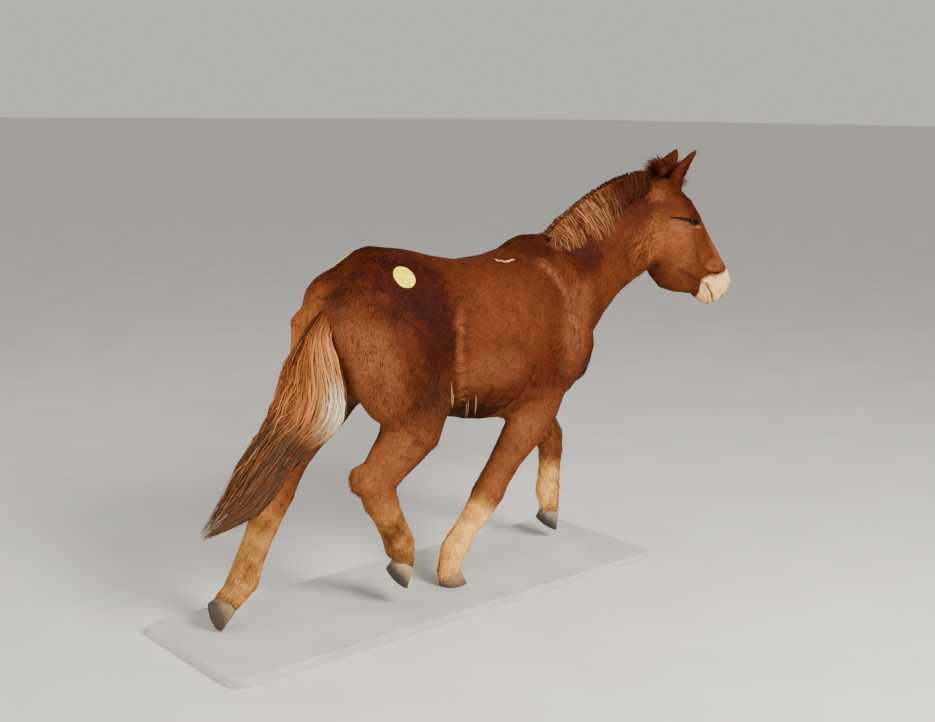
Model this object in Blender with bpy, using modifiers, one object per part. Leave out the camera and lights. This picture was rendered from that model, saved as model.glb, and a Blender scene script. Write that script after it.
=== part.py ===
"""A young mule at the trot, life size, on a flat base plate.

All lengths are in metres. While it is made, the mule faces +X, its left side is +Y, x = 0 is the
middle of its back and z = 0 is the top of the base plate. At the end everything hangs from one
empty, which moves the middle of the underside of the whole box to the world's origin.
"""

import math
import random

import bmesh
import bpy
import numpy as np
from mathutils import Matrix, Quaternion, Vector
from mathutils.bvhtree import BVHTree

# Gaps, grids and faces
GAP = 0.0003
LOCK_GAP = 0.0004
SEED = 12
VOXEL = 0.009
SMOOTHING = 7
TRUNK_SMOOTHING = 60
# Triangles of the whole flesh, in the copies that the nodes are cut from
FLESH_TRIANGLES = {"trunk": 2900, "limbs": 5000, "head": 12500}

# Base plate
PLATE_REAR = -1.06
PLATE_FRONT = 0.80
PLATE_HALF_WIDTH = 0.29
PLATE_THICK = 0.03
PLATE_CORNER = 0.05
PLATE_EDGE = 0.004

# Trunk: x, height of the back, of the widest place and of the belly, half width
TRUNK = (
    (-0.535, 1.03, 0.92, 0.82, 0.080),
    (-0.500, 1.10, 0.93, 0.76, 0.138),
    (-0.440, 1.186, 0.95, 0.72, 0.172),
    (-0.350, 1.236, 0.97, 0.69, 0.195),
    (-0.230, 1.218, 0.96, 0.67, 0.208),
    (-0.100, 1.187, 0.91, 0.625, 0.222),
    (0.040, 1.163, 0.87, 0.592, 0.236),
    (0.180, 1.168, 0.85, 0.576, 0.238),
    (0.300, 1.200, 0.85, 0.572, 0.224),
    (0.400, 1.228, 0.85, 0.580, 0.200),
    (0.500, 1.150, 0.84, 0.605, 0.170),
    (0.580, 1.050, 0.83, 0.660, 0.130),
    (0.640, 0.950, 0.83, 0.730, 0.080),
)

# Neck: x and z of the crest, x and z of the underside, y of the middle, half width
NECK = (
    (0.300, 1.190, 0.500, 0.660, 0.000, 0.165),
    (0.400, 1.200, 0.615, 0.760, 0.000, 0.150),
    (0.500, 1.225, 0.690, 0.845, -0.005, 0.124),
    (0.600, 1.285, 0.745, 0.905, -0.018, 0.104),
    (0.700, 1.345, 0.795, 0.965, -0.035, 0.092),
    (0.800, 1.388, 0.850, 1.020, -0.055, 0.086),
    (0.890, 1.405, 0.910, 1.050, -0.075, 0.081),
    (0.960, 1.405, 0.965, 1.080, -0.095, 0.072),
)

# Head: the poll, the way it turns, and how steeply its face points down
POLL = Vector((0.96, -0.09, 1.40))
HEAD_TURN = math.radians(-19)
HEAD_DOWN = math.radians(58.5)
# Along the face from the poll: distance, forehead side, widest level, jaw side, half width
HEAD = (
    (-0.035, 0.012, -0.050, -0.120, 0.052),
    (0.010, 0.042, -0.030, -0.155, 0.074),
    (0.070, 0.074, 0.010, -0.178, 0.088),
    (0.130, 0.091, 0.030, -0.188, 0.094),
    (0.190, 0.098, 0.030, -0.188, 0.092),
    (0.250, 0.100, 0.015, -0.192, 0.083),
    (0.310, 0.104, 0.005, -0.190, 0.071),
    (0.370, 0.108, 0.010, -0.178, 0.060),
    (0.420, 0.110, 0.025, -0.134, 0.053),
    (0.465, 0.110, 0.040, -0.074, 0.052),
    (0.500, 0.104, 0.040, -0.060, 0.053),
    (0.528, 0.088, 0.030, -0.048, 0.047),
    (0.548, 0.058, 0.015, -0.025, 0.032),
)

# Legs, from inside the trunk to the coronet: x, y, z, half depth fore and aft, half width
LEGS = {
    "front_right": (
        (0.360, -0.110, 0.840, 0.150, 0.070),
        (0.335, -0.125, 0.720, 0.130, 0.072),
        (0.305, -0.128, 0.620, 0.105, 0.066),
        (0.250, -0.122, 0.530, 0.084, 0.059),
        (0.190, -0.113, 0.450, 0.061, 0.052),
        (0.143, -0.104, 0.380, 0.056, 0.050),
        (0.113, -0.100, 0.330, 0.060, 0.054),
        (0.082, -0.096, 0.285, 0.053, 0.048),
        (0.037, -0.091, 0.230, 0.046, 0.042),
        (-0.004, -0.086, 0.180, 0.046, 0.042),
        (-0.034, -0.081, 0.135, 0.051, 0.046),
        (-0.044, -0.076, 0.095, 0.041, 0.041),
        (-0.046, -0.071, 0.058, 0.043, 0.043),
    ),
    "front_left": (
        (0.385, 0.105, 0.840, 0.140, 0.070),
        (0.395, 0.122, 0.720, 0.120, 0.070),
        (0.430, 0.122, 0.630, 0.100, 0.064),
        (0.495, 0.112, 0.555, 0.082, 0.058),
        (0.550, 0.100, 0.485, 0.066, 0.053),
        (0.592, 0.087, 0.420, 0.060, 0.053),
        (0.597, 0.082, 0.365, 0.050, 0.046),
        (0.592, 0.080, 0.305, 0.044, 0.041),
        (0.587, 0.080, 0.250, 0.045, 0.041),
        (0.584, 0.080, 0.203, 0.051, 0.046),
        (0.588, 0.080, 0.160, 0.042, 0.041),
        (0.596, 0.080, 0.122, 0.042, 0.042),
    ),
    "hind_right": (
        (-0.360, -0.115, 0.970, 0.190, 0.090),
        (-0.335, -0.132, 0.860, 0.195, 0.098),
        (-0.295, -0.138, 0.760, 0.175, 0.095),
        (-0.268, -0.138, 0.680, 0.150, 0.083),
        (-0.280, -0.134, 0.615, 0.122, 0.072),
        (-0.325, -0.129, 0.560, 0.095, 0.062),
        (-0.372, -0.124, 0.508, 0.082, 0.054),
        (-0.412, -0.120, 0.456, 0.082, 0.050),
        (-0.394, -0.117, 0.400, 0.066, 0.048),
        (-0.360, -0.114, 0.335, 0.052, 0.044),
        (-0.326, -0.112, 0.268, 0.051, 0.044),
        (-0.304, -0.110, 0.216, 0.057, 0.048),
        (-0.296, -0.110, 0.182, 0.046, 0.043),
        (-0.291, -0.110, 0.155, 0.043, 0.042),
    ),
    "hind_left": (
        (-0.375, 0.115, 0.970, 0.190, 0.090),
        (-0.395, 0.130, 0.860, 0.180, 0.098),
        (-0.415, 0.136, 0.765, 0.155, 0.094),
        (-0.466, 0.136, 0.680, 0.118, 0.080),
        (-0.527, 0.131, 0.605, 0.090, 0.066),
        (-0.585, 0.124, 0.535, 0.074, 0.056),
        (-0.628, 0.116, 0.475, 0.072, 0.052),
        (-0.652, 0.111, 0.425, 0.071, 0.050),
        (-0.690, 0.106, 0.355, 0.058, 0.047),
        (-0.730, 0.101, 0.285, 0.050, 0.043),
        (-0.768, 0.098, 0.210, 0.049, 0.043),
        (-0.795, 0.095, 0.150, 0.056, 0.048),
        (-0.825, 0.092, 0.118, 0.046, 0.044),
        (-0.852, 0.090, 0.096, 0.043, 0.042),
    ),
}

# Muscle and bone under the coat: centre, half lengths, pitch in degrees; "pair" ones on both sides
MASSES = (
    ("haunch", (-0.350, 0.095, 1.000), (0.175, 0.098, 0.165), 0, True),
    ("buttock", (-0.450, 0.080, 0.920), (0.100, 0.090, 0.170), 0, True),
    ("hip point", (-0.190, 0.105, 1.080), (0.100, 0.070, 0.080), 0, True),
    ("rump side", (-0.425, 0.080, 1.045), (0.100, 0.085, 0.110), 0, True),
    ("shoulder blade", (0.430, 0.090, 0.960), (0.110, 0.078, 0.210), 25, True),
    ("shoulder point", (0.535, 0.085, 0.820), (0.090, 0.080, 0.100), 0, True),
    ("upper arm", (0.370, 0.125, 0.760), (0.150, 0.078, 0.120), 0, True),
    ("breast", (0.570, 0.045, 0.780), (0.085, 0.080, 0.120), 0, True),
    ("withers", (0.380, 0.000, 1.150), (0.150, 0.055, 0.088), 0, False),
    ("right hock point", (-0.466, -0.119, 0.482), (0.048, 0.032, 0.052), 0, False),
    ("left hock point", (-0.685, 0.114, 0.478), (0.042, 0.032, 0.050), 0, False),
)

# The same in the head's own frame: along the face, towards the forehead, sideways
HEAD_MASSES = (
    ("cheek", (0.195, -0.095, 0.042), (0.112, 0.098, 0.042), True),
    ("brow", (0.160, 0.048, 0.074), (0.042, 0.026, 0.022), True),
    ("nostril wing", (0.482, 0.070, 0.034), (0.036, 0.030, 0.021), True),
    ("upper lip", (0.517, 0.042, 0.000), (0.034, 0.044, 0.041), False),
    ("lower lip", (0.492, -0.034, 0.000), (0.040, 0.026, 0.034), False),
    ("ear root", (0.026, 0.002, 0.055), (0.052, 0.044, 0.027), True),
)

# Hooves, in their own frame: the ground is z = 0, the toe points to +X
HOOF_TOE = 0.055
HOOF_HEEL = 0.048
HOOF_HALF_WIDTH = 0.042
HOOF_CORONET = Vector((-0.020, 0, 0.050))
HOOF_FRONT_RISE = 0.014
HOOF_CORONET_HALF = 0.038
HOOF_SIDES = 20
SOLE_HOLLOW = 0.005
SOLE_RIM = 0.008
# Where the coronet is, and how far the toe points down
HOOVES = {
    "front_right": ((-0.052, -0.070, 0.0503), 0),
    "front_left": ((0.599, 0.080, 0.116), 42),
    "hind_right": ((-0.289, -0.110, 0.148), 54),
    "hind_left": ((-0.862, 0.090, 0.0815), 78),
}

LEG_INTO_HOOF = 0.040
CORONET_CUT_RADIUS = 0.066

# Cuts that part the legs from the trunk: x and z of the middle, slope, reach fore and aft
LEG_CUTS = {
    "front_right": (0.280, 0.550, 10, 0.30),
    "front_left": (0.490, 0.560, -10, 0.30),
    "hind_right": (-0.320, 0.685, 20, 0.44),
    "hind_left": (-0.420, 0.695, 17, 0.50),
}
LEG_CUT_INNER = 0.020
LEG_CUT_OUTER = 0.320
NECK_CUT = Vector((0.590, 0.0, 1.010))
NECK_CUT_NORMAL = Vector((0.855, 0.0, 0.518))
HEAD_CUT_BACK = 0.040

# Ears, in the head's frame: along the face, towards the forehead, sideways
EAR_BASE = (0.046, 0.030, 0.062)
EAR_TIPS = {"right": (-0.045, 0.162, -0.100), "left": (-0.030, 0.183, 0.085)}
# Along the ear: half width, half depth
EAR = (
    (-0.14, 0.024, 0.026),
    (0.00, 0.030, 0.030),
    (0.15, 0.038, 0.033),
    (0.35, 0.042, 0.031),
    (0.60, 0.036, 0.023),
    (0.82, 0.022, 0.014),
    (0.95, 0.010, 0.007),
    (1.00, 0.003, 0.003),
)
EAR_WALL = 0.0045
EAR_BEND = 0.010
# The cup inside: along the ear, share of its full size
EAR_CUP = ((0.09, 0.25), (0.15, 0.62), (0.24, 0.90), (0.38, 1.0), (0.60, 1.0), (0.82, 0.95), (0.95, 0.7))

# Eyes
EYE_PLACE = (0.186, 0.036, 0.068)
EYE_RADIUS = 0.023
EYE_HALF_LENGTH = 0.021
EYE_HALF_HEIGHT = 0.0095
EYE_SLANT = math.radians(28)
EYE_FORWARD = 0.12
EYE_BULGE = 0.0015
LID_RADIUS = 0.0042

# Nostrils and mouth, in the head's frame
NOSTRIL = (0.500, 0.072, 0.050)
NOSTRIL_HALF = (0.019, 0.008, 0.016)
MOUTH_CORNER = 0.431
MOUTH_LEVEL = (-0.030, 0.000)
MOUTH_RADIUS = 0.0035

# Tail: x, y, z of the middle, half width across the fan, half thickness
TAIL = (
    (-0.465, 0.000, 1.075, 0.026, 0.028),
    (-0.520, -0.002, 1.008, 0.036, 0.034),
    (-0.572, -0.018, 0.948, 0.058, 0.036),
    (-0.600, -0.036, 0.872, 0.104, 0.038),
    (-0.603, -0.038, 0.808, 0.112, 0.042),
    (-0.610, -0.034, 0.745, 0.122, 0.042),
    (-0.636, -0.022, 0.672, 0.118, 0.040),
    (-0.678, -0.010, 0.617, 0.108, 0.038),
    (-0.722, 0.000, 0.563, 0.100, 0.034),
    (-0.775, 0.008, 0.495, 0.100, 0.028),
    (-0.830, 0.017, 0.432, 0.086, 0.022),
    (-0.892, 0.030, 0.385, 0.060, 0.014),
    (-0.975, 0.046, 0.338, 0.016, 0.004),
)
# The fan lies across the buttocks above and turns with the swing below
TAIL_TURN_HEIGHTS = (0.93, 0.74)
TAIL_TURN_ANGLES = (math.radians(22), math.radians(43))

# Core of the tail's locks, as shares of the whole tail's width, thickness and length
TAIL_CORE = (0.52, 0.50, 0.66)
# Layers of tail locks: how many, where they start and end along the tail, how far they spread to
# the sides at their tips, how far out they lie (1 is the outer face, -1 the inner), half width
TAIL_LAYERS = (
    (4, 0.01, 0.34, 0.50, 0.60, 0.024),
    (5, 0.12, 0.50, 0.84, 0.62, 0.029),
    (4, 0.20, 0.62, 0.90, -0.60, 0.029),
    (6, 0.28, 0.70, 0.92, 0.62, 0.028),
    (6, 0.42, 0.86, 0.96, 0.50, 0.025),
    (4, 0.46, 0.84, 0.90, -0.50, 0.025),
    (7, 0.54, 0.98, 1.00, 0.20, 0.019),
)
TAIL_LOCK_HALF_THICK = 0.0075

# Mane: the ridge under the locks, and the locks
MANE_CORE_RISE = 0.022
MANE_CORE_HALF = 0.013
MANE_START = 0.462
MANE_END = 0.880
MANE_LOCKS = 27
MANE_LOCK_HALF_WIDTH = 0.025
MANE_LOCK_HALF_THICK = 0.0065
# From the withers to the poll: how high the locks rise over the crest, how far they hang beside it
MANE_RISE = ((0.468, 0.034), (0.540, 0.045), (0.780, 0.046), (0.880, 0.058))
MANE_HANG = ((0.468, 0.050), (0.520, 0.082), (0.600, 0.080), (0.680, 0.098), (0.760, 0.062), (0.880, 0.030))

# Tuft between the ears: locks in a fan from the neck to the forehead
CROWN_LOCKS = 13
CROWN_ROOTS = (-0.034, 0.036)
CROWN_LEAN = (math.radians(-74), math.radians(78))
CROWN_LENGTH = (0.084, 0.056)
CROWN_SINK = 0.016
CROWN_LOCK_HALF_THICK = 0.0075
# From the neck to the forehead: how far the roots lie to the sides, and the locks' half width
CROWN_SPREAD = ((0.0, 0.024), (0.4, 0.012), (1.0, 0.009))
CROWN_HALF_WIDTH = ((0.0, 0.028), (0.4, 0.019), (1.0, 0.016))
LOCK_RINGS = (0.0, 0.3, 0.62, 0.86)
LOCK_TAPER = (0.80, 1.00, 0.82, 0.45)

# Round adhesive tags on the hips, and the torn rest of a label on the back
TAG_THICK = 0.0016
# Middle of each and the way it faces, half length, half width, turn of its long side in degrees
TAGS = {
    "hip_tag_right": ((-0.313, -0.145, 1.139), (0.00, -0.79, 0.61), 0.041, 0.040, 0),
    "hip_tag_left": ((-0.385, 0.098, 1.178), (-0.30, 0.45, 0.84), 0.041, 0.040, 0),
    "back_label": ((0.187, -0.078, 1.148), (-0.05, -0.48, 0.87), 0.034, 0.008, -14),
}


def clear_scene():
    for obj in list(bpy.data.objects):
        bpy.data.objects.remove(obj, do_unlink=True)
    for collection in list(bpy.data.collections):
        bpy.data.collections.remove(collection)


def new_collection(name, hidden=False):
    collection = bpy.data.collections.new(name)
    bpy.context.scene.collection.children.link(collection)
    collection.hide_render = hidden
    return collection


clear_scene()
PARTS = new_collection("mule")
GUIDES = new_collection("guides", hidden=True)


def object_from(name, bm, collection=None):
    mesh = bpy.data.meshes.new(name)
    bm.normal_update()
    bm.to_mesh(mesh)
    bm.free()
    obj = bpy.data.objects.new(name, mesh)
    (collection or GUIDES).objects.link(obj)
    if collection is None:
        obj.hide_render = True
        obj.display_type = "WIRE"
    return obj


def remove(obj):
    mesh = obj.data
    bpy.data.objects.remove(obj, do_unlink=True)
    bpy.data.meshes.remove(mesh)


def bake(obj, kind, **settings):
    """Adds one modifier and makes its result the object's own mesh."""
    modifier = obj.modifiers.new(kind.title(), kind)
    for key, value in settings.items():
        setattr(modifier, key, value)
    bpy.context.view_layer.update()
    graph = bpy.context.evaluated_depsgraph_get()
    mesh = bpy.data.meshes.new_from_object(obj.evaluated_get(graph))
    old = obj.data
    obj.modifiers.clear()
    obj.data = mesh
    bpy.data.meshes.remove(old)
    return obj


def duplicate(obj, name):
    copy = bpy.data.objects.new(name, obj.data.copy())
    GUIDES.objects.link(copy)
    copy.hide_render = True
    return copy


def combine(obj, other, operation, keep_other=False):
    bake(obj, "BOOLEAN", object=other, operation=operation, solver="EXACT")
    if not keep_other:
        remove(other)
    return obj


def keep_largest(obj):
    """Leaves only the largest closed surface of the mesh."""
    bm = bmesh.new()
    bm.from_mesh(obj.data)
    left = set(bm.verts)
    shells = []
    while left:
        start = left.pop()
        shell = {start}
        edge_of_shell = [start]
        while edge_of_shell:
            vertex = edge_of_shell.pop()
            for edge in vertex.link_edges:
                other = edge.other_vert(vertex)
                if other in left:
                    left.remove(other)
                    shell.add(other)
                    edge_of_shell.append(other)
        shells.append(shell)

    def size(shell):
        points = [v.co for v in shell]
        low = [min(p[i] for p in points) for i in range(3)]
        high = [max(p[i] for p in points) for i in range(3)]
        return math.dist(low, high)

    shells.sort(key=size)
    for shell in shells[:-1]:
        bmesh.ops.delete(bm, geom=list(shell), context="VERTS")
    bm.to_mesh(obj.data)
    bm.free()
    return obj


def grown(obj, distance, name):
    """A copy with its surface moved outwards."""
    copy = duplicate(obj, name)
    bm = bmesh.new()
    bm.from_mesh(copy.data)
    bm.normal_update()
    moves = [(v, v.normal * distance) for v in bm.verts]
    for vertex, move in moves:
        vertex.co += move
    bm.to_mesh(copy.data)
    bm.free()
    return copy


def join(objects, name):
    bm = bmesh.new()
    for obj in objects:
        bm.from_mesh(obj.data)
    for obj in objects:
        remove(obj)
    return object_from(name, bm)


def closed_loft(name, rings):
    """A skin over rings of equally many points, with a fan over each end."""
    bm = bmesh.new()
    rows = [[bm.verts.new(p) for p in ring] for ring in rings]
    count = len(rows[0])
    for row, following in zip(rows, rows[1:]):
        for i in range(count):
            j = (i + 1) % count
            bm.faces.new((row[i], row[j], following[j], following[i]))
    for row, back in ((rows[0], True), (rows[-1], False)):
        middle = sum((v.co for v in row), Vector()) / count
        centre = bm.verts.new(middle)
        for i in range(count):
            j = (i + 1) % count
            bm.faces.new((centre, row[j], row[i]) if back else (centre, row[i], row[j]))
    bmesh.ops.recalc_face_normals(bm, faces=bm.faces)
    return object_from(name, bm)


def ramp(value, low, high):
    """0 at low, 1 at high, with soft ends."""
    t = min(max((value - low) / (high - low), 0.0), 1.0)
    return t * t * (3 - 2 * t)


def power(value, exponent):
    return math.copysign(abs(value) ** exponent, value)


def oval(centre, side, up, half_width, rise, drop, sides=28, top_full=2.0, low_full=2.2):
    """Points round an oval that is taller above its widest level than below, or the other way."""
    points = []
    for i in range(sides):
        angle = 2 * math.pi * i / sides
        full = top_full if math.sin(angle) > 0 else low_full
        across = power(math.cos(angle), 2 / full) * half_width
        height = power(math.sin(angle), 2 / full) * (rise if math.sin(angle) > 0 else drop)
        points.append(centre + side * across + up * height)
    return points


def egg(centre, radii, turn):
    """A closed ellipsoid with its half lengths along the turned axes."""
    bm = bmesh.new()
    bmesh.ops.create_uvsphere(bm, u_segments=24, v_segments=14, radius=1.0)
    stretch = Matrix.Diagonal((*radii, 1.0))
    bmesh.ops.transform(bm, matrix=Matrix.Translation(centre) @ turn @ stretch, verts=bm.verts)
    return object_from("mass", bm)


def trunk():
    rings = []
    for x, top, wide, low, half in TRUNK:
        centre = Vector((x, 0, wide))
        rings.append(
            oval(centre, Vector((0, 1, 0)), Vector((0, 0, 1)), half, top - wide, wide - low, 32, 1.9, 2.3)
        )
    return closed_loft("trunk", rings)


def neck():
    rings = []
    for crest_x, crest_z, under_x, under_z, y, half in NECK:
        crest = Vector((crest_x, y, crest_z))
        under = Vector((under_x, y, under_z))
        up = (crest - under).normalized()
        turn = HEAD_TURN * 0.9 * ramp(crest_x, NECK[0][0], NECK[-1][0])
        side = Vector((-math.sin(turn), math.cos(turn), 0))
        wide = under.lerp(crest, 0.42)
        rings.append(oval(wide, side, up, half, (crest - wide).length, (wide - under).length, 28, 1.8, 2.1))
    return closed_loft("neck", rings)


FORWARD = Vector((math.cos(HEAD_TURN), math.sin(HEAD_TURN), 0))
HEAD_LEFT = Vector((-math.sin(HEAD_TURN), math.cos(HEAD_TURN), 0))
ALONG = FORWARD * math.cos(HEAD_DOWN) + Vector((0, 0, -math.sin(HEAD_DOWN)))
BROWWARD = FORWARD * math.sin(HEAD_DOWN) + Vector((0, 0, math.cos(HEAD_DOWN)))
HEAD_AXES = Matrix((ALONG, BROWWARD, HEAD_LEFT)).transposed().to_4x4()


def on_head(along, out, left):
    return POLL + ALONG * along + BROWWARD * out + HEAD_LEFT * left


def head():
    rings = []
    for along, top, wide, low, half in HEAD:
        centre = on_head(along, wide, 0)
        rings.append(oval(centre, HEAD_LEFT, BROWWARD, half, top - wide, wide - low, 32, 2.3, 2.1))
    return closed_loft("head", rings)


def hoof_up(name):
    """The hoof's own upward axis."""
    pitch = math.radians(HOOVES[name][1])
    return Vector((math.sin(pitch), 0, math.cos(pitch)))


def limb(name):
    stations = LEGS[name]
    end = Vector(HOOVES[name][0]) - hoof_up(name) * LEG_INTO_HOOF
    stations = stations + ((*end, stations[-1][3], stations[-1][4]),)
    rings = []
    places = [Vector(s[:3]) for s in stations]
    for i, (x, y, z, depth, width) in enumerate(stations):
        ahead = places[min(i + 1, len(places) - 1)]
        behind = places[max(i - 1, 0)]
        down = (ahead - behind).normalized()
        fore = Vector((0, 1, 0)).cross(down).normalized()
        side = down.cross(fore).normalized()
        rings.append(oval(Vector((x, y, z)), side, fore, width, depth, depth, 20))
    return closed_loft("limb", rings)


def masses():
    made = []
    for _, centre, radii, pitch, both in MASSES:
        turn = Matrix.Rotation(math.radians(pitch), 4, "Y")
        for sign in (1, -1) if both else (1,):
            made.append(egg(Vector((centre[0], centre[1] * sign, centre[2])), radii, turn))
    for _, place, radii, both in HEAD_MASSES:
        for sign in (1, -1) if both else (1,):
            made.append(egg(on_head(place[0], place[1], place[2] * sign), radii, HEAD_AXES))
    return made


def flesh():
    """Trunk, neck, head and legs as one smooth closed surface, out to the tips of the short coat."""
    pieces = [trunk(), neck(), head()] + [limb(name) for name in LEGS] + masses()
    body = join(pieces, "flesh")
    bake(body, "REMESH", mode="VOXEL", voxel_size=VOXEL, adaptivity=0.0)
    trunk_weight = body.vertex_groups.new(name="trunk")
    for vertex in body.data.vertices:
        x, _, z = vertex.co
        trunk_weight.add([vertex.index], ramp(z, 0.58, 0.74) * ramp(x, 0.80, 0.62), "REPLACE")
    bake(body, "SMOOTH", factor=0.5, iterations=TRUNK_SMOOTHING, vertex_group="trunk")
    bake(body, "SMOOTH", factor=0.5, iterations=SMOOTHING)
    return body


def coarse(body, triangles, name):
    """A copy with about this many triangles."""
    copy = duplicate(body, name)
    copy.vertex_groups.clear()
    count = sum(len(p.vertices) - 2 for p in copy.data.polygons)
    bake(copy, "DECIMATE", ratio=triangles / count)
    return copy


def beyond(point, normal, name):
    """A large box on the side of a plane that the normal points to."""
    size = 3.0
    bm = bmesh.new()
    bmesh.ops.create_cube(bm, size=size)
    turn = normal.normalized().to_track_quat("Z", "Y").to_matrix().to_4x4()
    place = Matrix.Translation(point) @ turn @ Matrix.Translation((0, 0, size / 2))
    bmesh.ops.transform(bm, matrix=place, verts=bm.verts)
    return object_from(name, bm)


def leg_block(name, grow):
    """The space of one leg below its cut, made larger by grow on every side."""
    x, z, slope, reach = LEG_CUTS[name]
    side = 1 if name.endswith("left") else -1
    height = 1.2
    bm = bmesh.new()
    bmesh.ops.create_cube(bm, size=1.0)
    width = LEG_CUT_OUTER - LEG_CUT_INNER
    stretch = Matrix.Diagonal((2 * reach + 2 * grow, width + 2 * grow, height, 1.0))
    middle = side * (LEG_CUT_OUTER + LEG_CUT_INNER) / 2
    turn = Matrix.Rotation(math.radians(slope), 4, "Y")
    place = Matrix.Translation((x, middle, z)) @ turn @ Matrix.Translation((0, 0, grow - height / 2))
    bmesh.ops.transform(bm, matrix=place @ stretch, verts=bm.verts)
    return object_from("block", bm)


def make_neck_and_head(neck_flesh, head_flesh):
    head_plane = POLL - FORWARD * HEAD_CUT_BACK
    neck_node = neck_flesh
    combine(neck_node, beyond(NECK_CUT, NECK_CUT_NORMAL, "front"), "INTERSECT")
    combine(neck_node, beyond(head_plane - FORWARD * GAP, -FORWARD, "back"), "INTERSECT")
    head_node = head_flesh
    combine(head_node, beyond(head_plane, FORWARD, "front"), "INTERSECT")
    return keep_largest(neck_node), keep_largest(head_node)


def make_torso(flesh_copy):
    node = flesh_copy
    step = NECK_CUT_NORMAL.normalized() * GAP
    combine(node, beyond(NECK_CUT - step, NECK_CUT_NORMAL, "front"), "DIFFERENCE")
    for name in LEG_CUTS:
        combine(node, leg_block(name, GAP), "DIFFERENCE")
    return keep_largest(node)


def coronet_block(name):
    """The space below the upper edge of one hoof."""
    depth = 2 * CORONET_CUT_RADIUS
    bm = bmesh.new()
    radius = CORONET_CUT_RADIUS
    bmesh.ops.create_cone(bm, cap_ends=True, segments=24, radius1=radius, radius2=radius, depth=depth)
    slope = math.atan2(HOOF_FRONT_RISE, HOOF_CORONET_HALF)
    tilt = Matrix.Rotation(-slope, 4, "Y")
    move = Matrix.Translation((0, 0, GAP - depth / 2))
    place = hoof_place(name) @ Matrix.Translation(HOOF_CORONET) @ tilt @ move
    bmesh.ops.transform(bm, matrix=place, verts=bm.verts)
    return object_from("block", bm)


def make_leg(flesh_copy, name):
    combine(flesh_copy, leg_block(name, 0), "INTERSECT")
    combine(flesh_copy, coronet_block(name), "DIFFERENCE")
    return keep_largest(flesh_copy)


def hoof_ring(level, radius_share, lift=0.0):
    """Points round the hoof, from the ground at level 0 to the coronet at level 1."""
    points = []
    for i in range(HOOF_SIDES):
        angle = 2 * math.pi * i / HOOF_SIDES
        fore = math.cos(angle)
        length = HOOF_TOE if fore > 0 else HOOF_HEEL
        ground = Vector((power(fore, 0.85) * length, power(math.sin(angle), 0.85) * HOOF_HALF_WIDTH, 0))
        top = Vector((fore, math.sin(angle), 0)) * HOOF_CORONET_HALF + HOOF_CORONET
        top.z += fore * HOOF_FRONT_RISE
        point = ground.lerp(top, level)
        centre = Vector((0, 0, 0)).lerp(HOOF_CORONET, level)
        point = centre + (point - centre) * radius_share
        point.z += lift
        points.append(point)
    return points


def hoof_place(name):
    place, pitch = HOOVES[name]
    turn = Matrix.Rotation(math.radians(pitch), 4, "Y")
    return Matrix.Translation(place) @ turn @ Matrix.Translation(-HOOF_CORONET)


def make_hoof(name):
    rim_share = 1 - SOLE_RIM / HOOF_HALF_WIDTH
    rings = [
        hoof_ring(0, rim_share * 0.5, SOLE_HOLLOW),
        hoof_ring(0, rim_share, SOLE_HOLLOW * 0.6),
        hoof_ring(0, 1.0),
        hoof_ring(0.5, 1.0),
        hoof_ring(1.0, 1.0),
    ]
    hoof = closed_loft("hoof", rings)
    hoof.data.transform(hoof_place(name))
    combine(hoof, beyond(Vector((0, 0, GAP)), Vector((0, 0, 1)), "ground"), "INTERSECT")
    return hoof


def clear_of(node, neighbour, gap=GAP):
    """Cuts the node back until it keeps the gap to its neighbour."""
    combine(node, grown(neighbour, gap, "larger"), "DIFFERENCE")
    return keep_largest(node)


def eye_frame(sign):
    """The middle of the eye's opening and its axes: along the slit, upwards, out of the head."""
    centre = on_head(EYE_PLACE[0], EYE_PLACE[1], EYE_PLACE[2] * sign)
    slit = ALONG * math.cos(EYE_SLANT) + BROWWARD * math.sin(EYE_SLANT)
    out = (HEAD_LEFT * sign + slit * EYE_FORWARD).normalized()
    slit = (slit - out * slit.dot(out)).normalized()
    up = out.cross(slit) * sign
    return centre, slit, up, out


def almond(centre, slit, up, out, grow, depth, sides=14):
    """An almond shaped plug along the eye's axis."""
    rings = []
    for push in depth:
        ring = []
        for i in range(sides):
            angle = 2 * math.pi * i / sides
            across = math.cos(angle) * (EYE_HALF_LENGTH + grow)
            height = power(math.sin(angle), 1.25) * (EYE_HALF_HEIGHT + grow)
            ring.append(centre + slit * across + up * height + out * push)
        rings.append(ring)
    return closed_loft("almond", rings)


def surface_tree(node):
    bm = bmesh.new()
    bm.from_mesh(node.data)
    tree = BVHTree.FromBMesh(bm)
    bm.free()
    return tree


def on_surface(tree, point, out):
    """The outermost place of the surface on the line through a point."""
    return tree.ray_cast(point + out * 0.3, -out)[0]


def surface_distance(node, start, direction):
    """How far the surface is from a point inside, along a direction."""
    hit = surface_tree(node).ray_cast(start + direction * 0.3, -direction)
    return 0.3 - hit[3]


def make_eye(head_node, sign):
    centre, slit, up, out = eye_frame(sign)
    tree = surface_tree(head_node)
    rim = on_surface(tree, centre, out)
    combine(head_node, lid_ring(tree, rim, slit, up, out), "UNION")
    combine(head_node, almond(rim, slit, up, out, 0.0, (-0.016, 0.02)), "DIFFERENCE")
    ball = egg(rim - out * (EYE_RADIUS - EYE_BULGE), (EYE_RADIUS,) * 3, Matrix())
    plug = almond(rim, slit, up, out, -GAP, (GAP - 0.016, 0.02))
    combine(plug, ball, "INTERSECT")
    return keep_largest(plug)


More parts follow.
